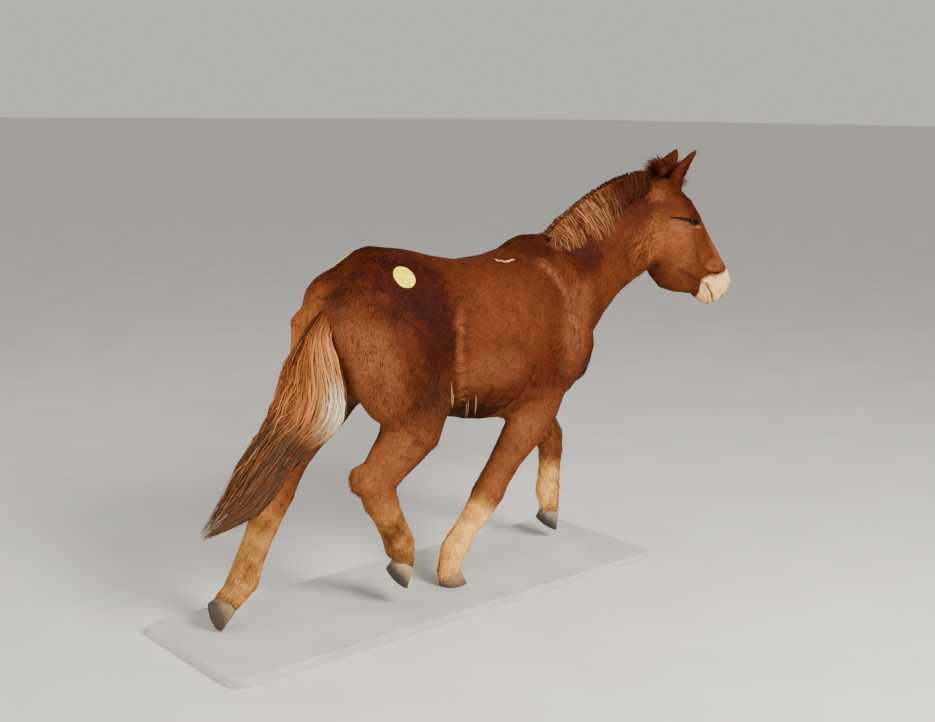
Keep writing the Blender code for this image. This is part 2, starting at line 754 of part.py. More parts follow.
def lid_ring(tree, rim, slit, up, out, sides=14, round_lid=5):
    """The rolled edge of both lids as one closed ring round the opening, lying on the face."""
    bm = bmesh.new()
    rows = []
    for i in range(sides):
        angle = 2 * math.pi * i / sides
        flat = slit * math.cos(angle) * (EYE_HALF_LENGTH + LID_RADIUS * 0.7)
        flat += up * power(math.sin(angle), 1.25) * (EYE_HALF_HEIGHT + LID_RADIUS * 0.7)
        middle = on_surface(tree, rim + flat, out)
        outward = (slit * math.cos(angle) * 0.4 + up * math.sin(angle)).normalized()
        thick = LID_RADIUS * (1.3 if math.sin(angle) > 0.1 else 1.0)
        row = []
        for k in range(round_lid):
            turn = 2 * math.pi * k / round_lid
            offset = outward * math.cos(turn) + out * math.sin(turn)
            row.append(bm.verts.new(middle + offset * thick))
        rows.append(row)
    for i in range(sides):
        row = rows[i]
        following = rows[(i + 1) % sides]
        for k in range(round_lid):
            m = (k + 1) % round_lid
            bm.faces.new((row[k], row[m], following[m], following[k]))
    bmesh.ops.recalc_face_normals(bm, faces=bm.faces)
    return object_from("lids", bm)


def make_nostrils(head_node):
    for sign in (1, -1):
        centre = on_head(NOSTRIL[0], NOSTRIL[1], 0)
        out = (HEAD_LEFT * sign * 0.80 + ALONG * 0.35 + BROWWARD * 0.35).normalized()
        reach = surface_distance(head_node, centre, out)
        long_way = (ALONG * 0.55 - BROWWARD * 0.6)
        long_way = (long_way - out * long_way.dot(out)).normalized()
        axes = Matrix((long_way, out.cross(long_way), out)).transposed().to_4x4()
        hollow = egg(centre + out * reach, NOSTRIL_HALF, axes)
        bake(hollow, "DECIMATE", ratio=0.22)
        combine(head_node, hollow, "DIFFERENCE")


def mouth_path(head_node):
    """Points along the line of the mouth, from one corner round the front to the other."""
    points = []
    steps = 5
    inside = on_head(MOUTH_CORNER + 0.03, -0.01, 0)
    for k in range(2 * steps + 1):
        turn = (k / steps - 1.0) * math.radians(104)
        level = MOUTH_LEVEL[1] + (MOUTH_LEVEL[0] - MOUTH_LEVEL[1]) * abs(k / steps - 1.0)
        start = inside + BROWWARD * (level + 0.01)
        direction = (ALONG * math.cos(turn) + HEAD_LEFT * math.sin(turn)).normalized()
        points.append(start + direction * surface_distance(head_node, start, direction))
    return points


def make_mouth(head_node):
    points = mouth_path(head_node)
    sides = 6
    rings = []
    for i, point in enumerate(points):
        ahead = points[min(i + 1, len(points) - 1)] - points[max(i - 1, 0)]
        along = ahead.normalized()
        side = BROWWARD
        other = along.cross(side).normalized()
        side = other.cross(along)
        thick = MOUTH_RADIUS * (0.5 if i in (0, len(points) - 1) else 1.0)
        ring = []
        for k in range(sides):
            turn = 2 * math.pi * k / sides
            ring.append(point + side * math.cos(turn) * thick * 0.7 + other * math.sin(turn) * thick * 1.5)
        rings.append(ring)
    combine(head_node, closed_loft("mouth", rings), "DIFFERENCE")


def make_ear(side):
    sign = 1 if side == "left" else -1
    base = on_head(EAR_BASE[0], EAR_BASE[1], EAR_BASE[2] * sign)
    tip = on_head(*EAR_TIPS[side])
    axis = (tip - base).normalized()
    mouth = FORWARD * 0.75 + HEAD_LEFT * sign * 0.66
    mouth = (mouth - axis * mouth.dot(axis)).normalized()
    across = axis.cross(mouth).normalized()
    length = (tip - base).length
    shares = [row[0] for row in EAR]

    def middle(share):
        return base + axis * length * share - mouth * EAR_BEND * math.sin(max(share, 0) * math.pi)

    outer = [oval(middle(share), across, mouth, half, deep, deep, 12) for share, half, deep in EAR]
    inner = []
    for share, size in EAR_CUP:
        half = float(np.interp(share, shares, [row[1] for row in EAR]))
        deep = float(np.interp(share, shares, [row[2] for row in EAR]))
        opening = middle(share) + mouth * deep * 0.75
        wall = min(EAR_WALL, half * 0.4)
        back = (deep * 1.75 - wall) * size
        inner.append(oval(opening, across, mouth, (half - wall) * size, deep * 1.2, back, 12))
    ear = closed_loft("ear", outer)
    combine(ear, closed_loft("cup", inner), "DIFFERENCE")
    return keep_largest(ear)


def tail_across(point, along):
    high, low = TAIL_TURN_HEIGHTS
    share = ramp(point.z, high, low)
    angle = TAIL_TURN_ANGLES[0] + (TAIL_TURN_ANGLES[1] - TAIL_TURN_ANGLES[0]) * share
    across = Vector((math.sin(angle), -math.cos(angle), 0))
    return (across - along * across.dot(along)).normalized()


def between(table, place):
    """Reads a table of (place, value) rows between its rows."""
    return float(np.interp(place, [row[0] for row in table], [row[1] for row in table]))


def lock(path, wide, half_width, half_thick):
    """One flat, tapered, bent lock along five points; wide is the way its flat side faces across."""
    rings = []
    last = len(path) - 1
    for i, point in enumerate(path[:-1]):
        along = (path[min(i + 1, last)] - path[max(i - 1, 0)]).normalized()
        across = (wide[i] - along * wide[i].dot(along)).normalized()
        face = along.cross(across)
        half = half_width * LOCK_TAPER[i]
        thick = half_thick * LOCK_TAPER[i]
        rings.append([point + across * half, point + face * thick, point - across * half, point - face * thick])
    bm = bmesh.new()
    rows = [[bm.verts.new(p) for p in ring] for ring in rings]
    tip = bm.verts.new(path[-1])
    for row, following in zip(rows, rows[1:]):
        for i in range(4):
            j = (i + 1) % 4
            bm.faces.new((row[i], row[j], following[j], following[i]))
    for i in range(4):
        bm.faces.new((rows[-1][i], rows[-1][(i + 1) % 4], tip))
    bm.faces.new(tuple(reversed(rows[0])))
    bmesh.ops.triangulate(bm, faces=bm.faces)
    bmesh.ops.recalc_face_normals(bm, faces=bm.faces)
    return object_from("lock", bm)


def fuse(node, pieces):
    """Joins closed pieces to a node with one union and keeps the largest closed surface."""
    together = new_collection("together", hidden=True)
    for piece in pieces:
        GUIDES.objects.unlink(piece)
        together.objects.link(piece)
    bake(
        node, "BOOLEAN", operand_type="COLLECTION", collection=together, operation="UNION", solver="EXACT"
    )
    for piece in pieces:
        remove(piece)
    bpy.data.collections.remove(together)
    return keep_largest(node)


def tail_at(share):
    """Middle, direction, across, outward, half width and half thickness at a share of the length."""
    step = share * (len(TAIL) - 1)
    values = [float(np.interp(step, range(len(TAIL)), [row[k] for row in TAIL])) for k in range(5)]
    ahead = Vector([float(np.interp(step + 0.5, range(len(TAIL)), [row[k] for row in TAIL])) for k in range(3)])
    behind = Vector([float(np.interp(step - 0.5, range(len(TAIL)), [row[k] for row in TAIL])) for k in range(3)])
    middle = Vector(values[:3])
    along = (ahead - behind).normalized()
    across = tail_across(middle, along)
    return middle, along, across, along.cross(across).normalized(), values[3], values[4]


def tail_core():
    """The solid heart of the tail, which the locks are rooted in."""
    wide_share, thick_share, long_share = TAIL_CORE
    rings = []
    count = 9
    for i in range(count):
        share = long_share * i / (count - 1)
        middle, _, across, outward, half, thick = tail_at(share)
        taper = 1.0 if i < count - 2 else (0.75 if i == count - 2 else 0.35)
        width = half * taper * (wide_share if i else 0.9)
        depth = thick * taper * (thick_share if i else 0.9)
        rings.append(oval(middle, across, outward, width, depth, depth, 10))
    return closed_loft("tail", rings)


def tail_locks(chance):
    made = []
    for count, start, end, spread, level, half_width in TAIL_LAYERS:
        for i in range(count):
            place = 2 * (i + 0.5) / count - 1 + chance.uniform(-0.4, 0.4) / count
            first = start + chance.uniform(-0.02, 0.03)
            last = end + chance.uniform(-0.05, 0.05)
            path = []
            wide = []
            for ring in LOCK_RINGS + (1.0,):
                share = min(first + (last - first) * ring, 1.0)
                middle, _, across, outward, half, thick = tail_at(share)
                open_up = ramp(ring, -0.1, 0.45)
                side = place * half * (0.36 + (spread - 0.36) * open_up)
                out = level * thick * open_up * (1.0 if ring < 1 else 0.7)
                wave = math.sin(ring * 5 + i * 1.7) * 0.004
                path.append(middle + across * (side + wave) + outward * out)
                wide.append(across + outward * chance.uniform(-0.18, 0.18))
            size = half_width * chance.uniform(0.85, 1.15)
            made.append(lock(path, wide, size, TAIL_LOCK_HALF_THICK * chance.uniform(0.9, 1.1)))
    return made


def make_tail(torso, leg, chance):
    tail = fuse(tail_core(), tail_locks(chance))
    clear_of(tail, torso)
    return clear_of(tail, leg)


def crest_at(x):
    """Crest, direction to the head, upward and rightward at a place along the neck."""
    stations = [row[0] for row in NECK]

    def read(k, place):
        return float(np.interp(place, stations, [row[k] for row in NECK]))

    crest = Vector((x, read(4, x), read(1, x)))
    ahead = Vector((x + 0.05, read(4, x + 0.05), read(1, x + 0.05)))
    behind = Vector((x - 0.05, read(4, x - 0.05), read(1, x - 0.05)))
    along = (ahead - behind).normalized()
    under = Vector((read(2, x), read(4, x), read(3, x)))
    up = (crest - under).normalized()
    up = (up - along * up.dot(along)).normalized()
    return crest, along, up, along.cross(up).normalized()


def mane_ridge(rise, half):
    rings = []
    count = 8
    for i in range(count):
        crest, _, up, right = crest_at(MANE_START + (MANE_END - MANE_START) * i / (count - 1))
        low = 0.5 if i in (0, count - 1) else 1.0
        rings.append(oval(crest - up * 0.012, right, up, half * low, (rise + 0.012) * low, 0.02, 8))
    return closed_loft("mane", rings)


def resting(tree, point, lift):
    """The nearest place on the coat's surface, lifted off it."""
    found, normal, _, _ = tree.find_nearest(point)
    return found + normal * lift


def mane_locks(tree, chance):
    made = []
    for i in range(MANE_LOCKS):
        x = MANE_START + (MANE_END - MANE_START) * (i + 0.5) / MANE_LOCKS + chance.uniform(-0.004, 0.004)
        crest, along, up, right = crest_at(x)
        to_left = i % 4 == 3
        aside = -right if to_left else right
        hang = between(MANE_HANG, x) * chance.uniform(0.75, 1.15) * (0.6 if to_left else 1.0)
        rise = between(MANE_RISE, x) * chance.uniform(0.85, 1.05)
        back = -along * chance.uniform(0.0, 0.025)
        path = [
            crest - up * 0.014 + aside * 0.002,
            crest + up * rise * 0.80 + aside * 0.008,
            resting(tree, crest + aside * 0.030 - up * 0.004 + back * 0.4, 0.026),
            resting(tree, crest + aside * 0.050 - up * hang * 0.6 + back * 0.8, 0.013),
            resting(tree, crest + aside * 0.060 - up * hang + back, 0.004),
        ]
        size = MANE_LOCK_HALF_WIDTH * chance.uniform(0.8, 1.15)
        made.append(lock(path, [along] * 4, size, MANE_LOCK_HALF_THICK))
    return made


def crown_locks(tree, chance):
    made = []
    up = Vector((0, 0, 1))
    for i in range(CROWN_LOCKS):
        share = (i + 0.5) / CROWN_LOCKS
        side = (i % 3 - 1) + chance.uniform(-0.15, 0.15)
        along = CROWN_ROOTS[0] + (CROWN_ROOTS[1] - CROWN_ROOTS[0]) * share
        root = resting(tree, on_head(along, 0.06, side * between(CROWN_SPREAD, share)), -CROWN_SINK)
        lean = CROWN_LEAN[0] + (CROWN_LEAN[1] - CROWN_LEAN[0]) * share + chance.uniform(-0.12, 0.12)
        length = CROWN_LENGTH[0] + (CROWN_LENGTH[1] - CROWN_LENGTH[0]) * share
        length *= chance.uniform(0.85, 1.08)
        away = up * math.cos(lean) + FORWARD * math.sin(lean) + HEAD_LEFT * side * 0.06
        droop = FORWARD * math.copysign(0.010, lean) - up * 0.012 * abs(math.sin(lean))
        path = []
        for ring in LOCK_RINGS + (1.0,):
            path.append(root + away * length * ring + up * 0.012 * math.sin(math.pi * ring) + droop * ring * ring)
        wide = [HEAD_LEFT + FORWARD * chance.uniform(-0.4, 0.4)] * 4
        size = between(CROWN_HALF_WIDTH, share) * chance.uniform(0.85, 1.1)
        made.append(lock(path, wide, size, CROWN_LOCK_HALF_THICK))
    return made


def make_tag(torso, name):
    """A thin patch that follows the back: a slice between two larger copies of the trunk."""
    place, out, half_length, half_width, turn = TAGS[name]
    out = Vector(out).normalized()
    middle = Vector(place)
    middle += out * (surface_distance(torso, middle - out * 0.1, out) - 0.1)
    length = Vector((0, 1, 0)).cross(out) if abs(out.y) < 0.9 else Vector((1, 0, 0))
    length = Quaternion(out, math.radians(turn)) @ length.normalized()
    width = out.cross(length)
    rings = []
    for push in (-0.03, 0.03):
        rings.append(oval(middle + out * push, length, width, half_length, half_width, half_width, 20))
    disc = closed_loft("disc", rings)
    combine(disc, grown(torso, GAP + TAG_THICK, "outer"), "INTERSECT")
    combine(disc, grown(torso, GAP, "inner"), "DIFFERENCE")
    return keep_largest(disc)


def make_plate():
    bm = bmesh.new()
    bmesh.ops.create_cube(bm, size=1.0)
    length = PLATE_FRONT - PLATE_REAR
    stretch = Matrix.Diagonal((length, 2 * PLATE_HALF_WIDTH, PLATE_THICK, 1.0))
    middle = Vector(((PLATE_FRONT + PLATE_REAR) / 2, 0, -PLATE_THICK / 2))
    bmesh.ops.transform(bm, matrix=Matrix.Translation(middle) @ stretch, verts=bm.verts)
    upright = [e for e in bm.edges if abs(e.verts[0].co.z - e.verts[1].co.z) > PLATE_THICK / 2]
    bmesh.ops.bevel(bm, geom=upright, offset=PLATE_CORNER, segments=5, affect="EDGES", profile=0.5)
    top = [e for e in bm.edges if min(v.co.z for v in e.verts) > -PLATE_THICK / 4]
    bmesh.ops.bevel(bm, geom=top, offset=PLATE_EDGE, segments=2, affect="EDGES", profile=0.5)
    return object_from("stand_base", bm)


def material(name, colour, roughness=0.8, metallic=0.0):
    made = bpy.data.materials.new(name)
    made.use_nodes = True
    shader = made.node_tree.nodes["Principled BSDF"]
    shader.inputs["Base Color"].default_value = (*colour, 1.0)
    shader.inputs["Roughness"].default_value = roughness
    shader.inputs["Metallic"].default_value = metallic
    return made


COAT_RUST = (0.25, 0.065, 0.022)
COAT_HEAD = (0.28, 0.080, 0.028)
LEG_TAN = (0.36, 0.140, 0.055)
TAIL_BLOND = (0.42, 0.230, 0.110)
HOOF_GREY = (0.16, 0.120, 0.085)
EYE_DARK = (0.010, 0.007, 0.005)
TAG_YELLOW = (0.85, 0.780, 0.100)
LABEL_PINK = (0.80, 0.560, 0.480)
PLATE_STONE = (0.52, 0.510, 0.480)


def publish(obj, name, colour, roughness=0.8, smooth=True):
    """Gives a finished solid its name, its material and its place among the parts."""
    obj.name = name
    obj.data.name = name
    for collection in list(obj.users_collection):
        collection.objects.unlink(obj)
    PARTS.objects.link(obj)
    obj.hide_render = False
    obj.display_type = "TEXTURED"
    obj.data.materials.clear()
    obj.data.materials.append(material(name, colour, roughness))
    if smooth:
        obj.data.shade_smooth()
        obj.data.set_sharp_from_angle(angle=math.radians(50))
    obj.parent = ORIGIN


def build():
    chance = random.Random(SEED)
    body = flesh()
    rough = coarse(body, FLESH_TRIANGLES["trunk"], "rough")
    medium = coarse(body, FLESH_TRIANGLES["limbs"], "medium")
    fine = coarse(body, FLESH_TRIANGLES["head"], "fine")
    tree = surface_tree(body)
    remove(body)

    neck_node, head_node = make_neck_and_head(duplicate(medium, "neck flesh"), fine)
    torso = make_torso(rough)
    for side, sign in (("right", -1), ("left", 1)):
        publish(make_eye(head_node, sign), f"eye_{side}", EYE_DARK, 0.1)
    make_nostrils(head_node)
    make_mouth(head_node)
    fuse(head_node, crown_locks(tree, chance))
    mane = fuse(mane_ridge(MANE_CORE_RISE, MANE_CORE_HALF), mane_locks(tree, chance))
    clear_of(mane, torso, LOCK_GAP)
    clear_of(mane, head_node, LOCK_GAP)
    fuse(neck_node, [mane])
    for side in ("right", "left"):
        ear = clear_of(make_ear(side), head_node, LOCK_GAP)
        publish(clear_of(ear, neck_node), f"ear_{side}", COAT_RUST)
    for name in LEGS:
        leg = make_leg(duplicate(medium, "leg flesh"), name)
        hoof = make_hoof(name)
        publish(leg, f"leg_{name}", LEG_TAN)
        publish(hoof, f"hoof_{name}", HOOF_GREY, 0.55)
    remove(medium)
    tail = make_tail(torso, PARTS.objects["leg_hind_left"], chance)
    for name in TAGS:
        publish(make_tag(torso, name), name, LABEL_PINK if name == "back_label" else TAG_YELLOW, 0.5)
    publish(torso, "torso", COAT_RUST)
    publish(neck_node, "neck", COAT_RUST)
    publish(head_node, "head", COAT_HEAD)
    publish(tail, "tail", TAIL_BLOND)
    publish(make_plate(), "stand_base", PLATE_STONE, 0.6)


ORIGIN = bpy.data.objects.new("mule_origin", None)
PARTS.objects.link(ORIGIN)
build()


def box_of_all():
    corners = [obj.matrix_world @ v.co for obj in PARTS.objects if obj.type == "MESH" for v in obj.data.vertices]
    low = Vector([min(c[i] for c in corners) for i in range(3)])
    high = Vector([max(c[i] for c in corners) for i in range(3)])
    return low, high


LOW, HIGH = box_of_all()
ORIGIN.location = (-(LOW.x + HIGH.x) / 2, -(LOW.y + HIGH.y) / 2, -LOW.z)
bpy.context.view_layer.update()
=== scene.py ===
"""The looks of a young mule at the trot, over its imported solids.

One skin takes the place of the solids of flesh, and joined meshes of small tufts lie on it as the
coat. Mane, crown tuft and tail are finer locks. Lengths are in metres. Places are written as in the
part's source, where x = 0 is the middle of the back, +X is forward, +Y is left and z = 0 is the top
of the base plate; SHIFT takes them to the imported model's frame.
"""

import math
import random

import bmesh
import bpy
import numpy as np
from mathutils import Matrix, Vector
from mathutils.bvhtree import BVHTree
from mathutils.kdtree import KDTree


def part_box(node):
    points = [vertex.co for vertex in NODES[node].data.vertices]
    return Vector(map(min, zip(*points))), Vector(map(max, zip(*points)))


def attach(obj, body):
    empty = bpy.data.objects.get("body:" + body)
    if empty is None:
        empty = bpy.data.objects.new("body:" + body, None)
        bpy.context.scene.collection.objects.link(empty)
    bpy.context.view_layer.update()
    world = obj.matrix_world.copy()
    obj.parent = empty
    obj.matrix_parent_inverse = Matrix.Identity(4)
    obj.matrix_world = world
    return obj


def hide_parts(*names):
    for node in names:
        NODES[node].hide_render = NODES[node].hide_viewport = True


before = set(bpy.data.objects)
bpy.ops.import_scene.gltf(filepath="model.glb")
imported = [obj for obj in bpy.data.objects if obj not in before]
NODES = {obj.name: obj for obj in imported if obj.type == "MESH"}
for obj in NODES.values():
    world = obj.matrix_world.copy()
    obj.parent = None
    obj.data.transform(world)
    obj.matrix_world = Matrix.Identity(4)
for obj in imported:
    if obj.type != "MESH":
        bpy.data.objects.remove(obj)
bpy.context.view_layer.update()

SEED = 21
TUFT_PATCH = 0.003

# From the source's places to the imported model's
PLATE_REAR = -1.06
PLATE_LOW, PLATE_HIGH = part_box("stand_base")
SHIFT = Vector((PLATE_LOW.x - PLATE_REAR, 0.0, PLATE_HIGH.z))

# Photograph: focal length in its pixels, and the camera's place, direction, pitch and roll
PHOTO_WIDTH = 935
FOCAL_PIXELS = 1300.0
SENSOR = 36.0
CAMERA_PLACE = Vector((-2.908, -3.448, 1.681))
CAMERA_DIRECTION = Vector((0.6561, 0.7547, 0.0))
CAMERA_PITCH = math.radians(11.03)
CAMERA_ROLL = math.radians(0.613)

# Skin
VOXEL = 0.0038
SKIN_OVERLAP = 0.0008
EAR_GROWTH = 0.0020
SMOOTH_ROUNDS = 38
SKIN_TRIANGLES = 150000
EYE_SPLIT_REACH = 0.045
# Where neck and shoulder are smoothed into one another: x, z, half lengths, tilt in degrees
NECK_JOINT = (0.47, 1.12, 0.15, 0.17, 0)
JOINT_ROUNDS = 150

# Neck: x and z of the crest, x and z of the underside, y of the middle, half width
NECK = (
    (0.300, 1.190, 0.500, 0.660, 0.000, 0.165),
    (0.400, 1.200, 0.615, 0.760, 0.000, 0.150),
    (0.500, 1.225, 0.690, 0.845, -0.005, 0.124),
    (0.600, 1.285, 0.745, 0.905, -0.018, 0.104),
    (0.700, 1.345, 0.795, 0.965, -0.035, 0.092),
    (0.800, 1.388, 0.850, 1.020, -0.055, 0.086),
    (0.890, 1.405, 0.910, 1.050, -0.075, 0.081),
    (0.960, 1.405, 0.965, 1.080, -0.095, 0.072),
)
# Head: poll, turn and slope, and its sections along the face: forehead side, widest level, jaw
# side, half width
POLL = Vector((0.96, -0.09, 1.40))
HEAD_TURN = math.radians(-19)
HEAD_DOWN = math.radians(58.5)
HEAD = (
    (-0.035, 0.012, -0.050, -0.120, 0.052),
    (0.010, 0.042, -0.030, -0.155, 0.074),
    (0.070, 0.074, 0.010, -0.178, 0.088),
    (0.130, 0.091, 0.030, -0.188, 0.094),
    (0.190, 0.098, 0.030, -0.188, 0.092),
    (0.250, 0.100, 0.015, -0.192, 0.083),
    (0.310, 0.104, 0.005, -0.190, 0.071),
    (0.370, 0.108, 0.010, -0.178, 0.060),
    (0.420, 0.110, 0.025, -0.134, 0.053),
    (0.465, 0.110, 0.040, -0.074, 0.052),
    (0.500, 0.104, 0.040, -0.060, 0.053),
    (0.528, 0.088, 0.030, -0.048, 0.047),
    (0.548, 0.058, 0.015, -0.025, 0.032),
)
# Bone and muscle of the head: along the face, towards the forehead, sideways; half lengths
HEAD_MASSES = (
    ((0.195, -0.095, 0.042), (0.112, 0.098, 0.042)),
    ((0.160, 0.048, 0.074), (0.042, 0.026, 0.022)),
    ((0.482, 0.070, 0.034), (0.036, 0.030, 0.021)),
    ((0.517, 0.042, 0.000), (0.034, 0.044, 0.041)),
    ((0.492, -0.034, 0.000), (0.040, 0.026, 0.034)),
    ((0.026, 0.002, 0.055), (0.052, 0.044, 0.027)),
)
FORWARD = Vector((math.cos(HEAD_TURN), math.sin(HEAD_TURN), 0))
HEAD_LEFT = Vector((-math.sin(HEAD_TURN), math.cos(HEAD_TURN), 0))
ALONG = FORWARD * math.cos(HEAD_DOWN) + Vector((0, 0, -math.sin(HEAD_DOWN)))
BROWWARD = FORWARD * math.sin(HEAD_DOWN) + Vector((0, 0, math.cos(HEAD_DOWN)))

# Middle lines of the legs, from the trunk to the coronet
LEG_LINES = {
    "front_right": (
        (0.360, -0.110, 0.840), (0.305, -0.128, 0.620), (0.190, -0.113, 0.450), (0.113, -0.100, 0.330),
        (0.037, -0.091, 0.230), (-0.034, -0.081, 0.135), (-0.046, -0.071, 0.058), (-0.046, -0.070, 0.010),
    ),
    "front_left": (
        (0.385, 0.105, 0.840), (0.430, 0.122, 0.630), (0.550, 0.100, 0.485), (0.597, 0.082, 0.365),
        (0.587, 0.080, 0.250), (0.584, 0.080, 0.203), (0.596, 0.080, 0.122), (0.575, 0.080, 0.085),
    ),
    "hind_right": (
        (-0.360, -0.115, 0.970), (-0.295, -0.138, 0.760), (-0.280, -0.134, 0.615), (-0.412, -0.120, 0.456),
        (-0.360, -0.114, 0.335), (-0.304, -0.110, 0.216), (-0.291, -0.110, 0.155), (-0.320, -0.110, 0.120),
    ),
    "hind_left": (
        (-0.375, 0.115, 0.970), (-0.415, 0.136, 0.765), (-0.527, 0.131, 0.605), (-0.652, 0.111, 0.425),
        (-0.730, 0.101, 0.285), (-0.795, 0.095, 0.150), (-0.852, 0.090, 0.096), (-0.895, 0.090, 0.075),
    ),
}
# Hooves: middle of the coronet, slope in degrees, colour of the wall and of the sole's edge
HOOVES = {
    "front_right": ((-0.052, -0.070, 0.0503), 0, (0.36, 0.22, 0.10), (0.10, 0.065, 0.035)),
    "front_left": ((0.599, 0.080, 0.116), 42, (0.30, 0.24, 0.17), (0.045, 0.032, 0.022)),
    "hind_right": ((-0.289, -0.110, 0.148), 54, (0.42, 0.28, 0.15), (0.045, 0.032, 0.022)),
    "hind_left": ((-0.862, 0.090, 0.0815), 78, (0.30, 0.20, 0.10), (0.060, 0.040, 0.024)),
}

# Eye: its place on the head, the slit and the ball
EYE_PLACE = (0.188, 0.034, 0.068)
EYE_HALF_LENGTH = 0.0205
EYE_HALF_HEIGHT = 0.0095
EYE_SLANT = math.radians(45)
EYE_BALL = 0.0200
EYE_OPENING_DEPTH = 0.0130
LID_RISE = 0.0022
UPPER_LID_EXTRA = 0.0040
LID_FOLD_DEPTH = 0.0028
EYE_CREASE_DEPTH = 0.0052
BROW_RISE = 0.0038

# Depths and heights of what is shaped in the skin
NOSTRIL_DEPTH = 0.0120
NOSTRIL_RIM = 0.0030
MOUTH_DEPTH = 0.0055
LIP_RISE = 0.0030
JAW_CREASE_DEPTH = 0.0030
FACIAL_CREST_RISE = 0.0028
VEIN_RISE = 0.0013
TEMPLE_HOLLOW = 0.0050
SHOULDER_EDGE_RISE = 0.0055
FLANK_FOLD_RISE = 0.0060
FLANK_HOLLOW = 0.0070
BUTTOCK_RISE = 0.0140
RIB_RISE = 0.0009
RIB_PITCH = 0.052
FLOOR_SIZE = 300.0

# Colours of the coat
MAROON = (0.034, 0.0048, 0.0004)
RUST = (0.074, 0.0142, 0.0038)
CHESTNUT = (0.106, 0.0245, 0.0068)
ORANGE = (0.188, 0.056, 0.0190)
LIGHT_ORANGE = (0.370, 0.112, 0.029)
TAN = (0.205, 0.066, 0.0170)
CREAM = (0.860, 0.430, 0.105)
PALE_NOSE = (0.980, 0.565, 0.215)
SHADE = (0.016, 0.007, 0.004)
BLOND = (0.340, 0.145, 0.055)
TAIL_BLOND = (0.500, 0.205, 0.064)
PINKISH = (0.215, 0.070, 0.030)
CHEEK_HAIR = (0.240, 0.082, 0.022)
UPPER_LID = (0.070, 0.030, 0.017)
WHITE_HAIR = (0.800, 0.640, 0.450)
DARK_HAIR = (0.050, 0.028, 0.0155)
WOOL_DARK = (0.040, 0.0105, 0.0038)
# Soft ovals of colour, three of them painted shade: x, z, half lengths, tilt in degrees, colour, strength
BODY_MARKS = (
    (0.10, 0.95, 0.25, 0.18, 0, CHESTNUT, 0.90),
    (0.02, 1.19, 0.30, 0.07, 0, RUST, 0.60),
    (0.02, 0.80, 0.16, 0.085, 0, ORANGE, 0.55),
    # Painted shade low on the barrel, towards the belly
    (0.07, 0.605, 0.36, 0.075, 0, MAROON, 0.30),
    # Painted shade behind the elbows
    (0.37, 0.76, 0.08, 0.10, 10, MAROON, 0.35),
    (0.48, 0.93, 0.12, 0.22, -18, ORANGE, 0.60),
    (0.37, 1.20, 0.12, 0.06, 10, MAROON, 0.75),
    (-0.29, 1.12, 0.18, 0.14, -8, MAROON, 0.95),
    (-0.205, 0.94, 0.110, 0.20, 0, MAROON, 0.92),
    (-0.225, 0.72, 0.095, 0.14, 8, WOOL_DARK, 0.85),
    (-0.46, 0.84, 0.110, 0.20, 10, ORANGE, 0.85),
    (-0.40, 0.60, 0.110, 0.15, 35, LIGHT_ORANGE, 0.45),
    # Painted shade on the side of the neck under the mane
    (0.58, 1.16, 0.13, 0.085, 42, MAROON, 0.92),
    (0.72, 1.05, 0.10, 0.10, 30, CHESTNUT, 0.50),
)
# The same on the head, with painted highlights and painted shade among them: along the face, towards the
# forehead
HEAD_MARKS = (
    (0.24, -0.05, 0.13, 0.075, -10, ORANGE, 0.75),
    (0.16, -0.13, 0.12, 0.060, -35, TAN, 0.30),
    (0.10, 0.095, 0.14, 0.070, 0, MAROON, 0.92),
    (-0.02, 0.00, 0.07, 0.070, 0, MAROON, 0.60),
    # Painted highlight on the bulge at the ear's root
    (0.02, -0.030, 0.030, 0.026, 0, PINKISH, 0.40),
    # Painted highlight on the bulge of the cheek under the eye
    (0.170, -0.020, 0.060, 0.024, 45, PINKISH, 0.70),
    (0.35, 0.095, 0.10, 0.030, 0, PINKISH, 0.65),
    (0.405, 0.050, 0.040, 0.034, 40, ORANGE, 0.85),
    # Painted shade on the underside of the jaw
    (0.28, -0.17, 0.14, 0.040, 8, RUST, 0.80),
)
# Lines on both sides of the body (x, z) and of the head (along the face, towards the forehead)
FLANK_FOLD = ((-0.084, 1.080), (-0.118, 0.986), (-0.119, 0.886), (-0.101, 0.779), (-0.064, 0.699))
SHOULDER_EDGE = (
    (0.348, 1.136), (0.383, 1.110), (0.396, 1.068), (0.422, 1.037),
    (0.420, 0.984), (0.453, 0.926), (0.487, 0.829),
)
MOUTH_LINE = ((0.431, -0.027), (0.456, -0.012), (0.495, -0.011), (0.530, -0.014), (0.550, -0.010))
JAW_CREASE = ((0.335, -0.090), (0.394, -0.054), (0.431, -0.027))
NOSTRIL_SLIT = ((0.416, 0.022), (0.432, 0.036), (0.443, 0.053), (0.447, 0.070))
NOSTRIL_CREASE = ((0.388, 0.006), (0.403, 0.010), (0.416, 0.022))
# Where the cream of the muzzle begins: towards the forehead, along the face
MUZZLE_EDGE = (
    (-0.100, 0.505), (-0.060, 0.487), (-0.028, 0.427), (0.010, 0.430), (0.040, 0.447), (0.076, 0.452),
    (0.120, 0.458),
)
# Behind the eye, in the eye's own frame: along the slit, upwards
EYE_CREASE = ((-0.097, -0.007), (-0.072, -0.0014), (-0.037, 0.0014), (-0.016, 0.0030))

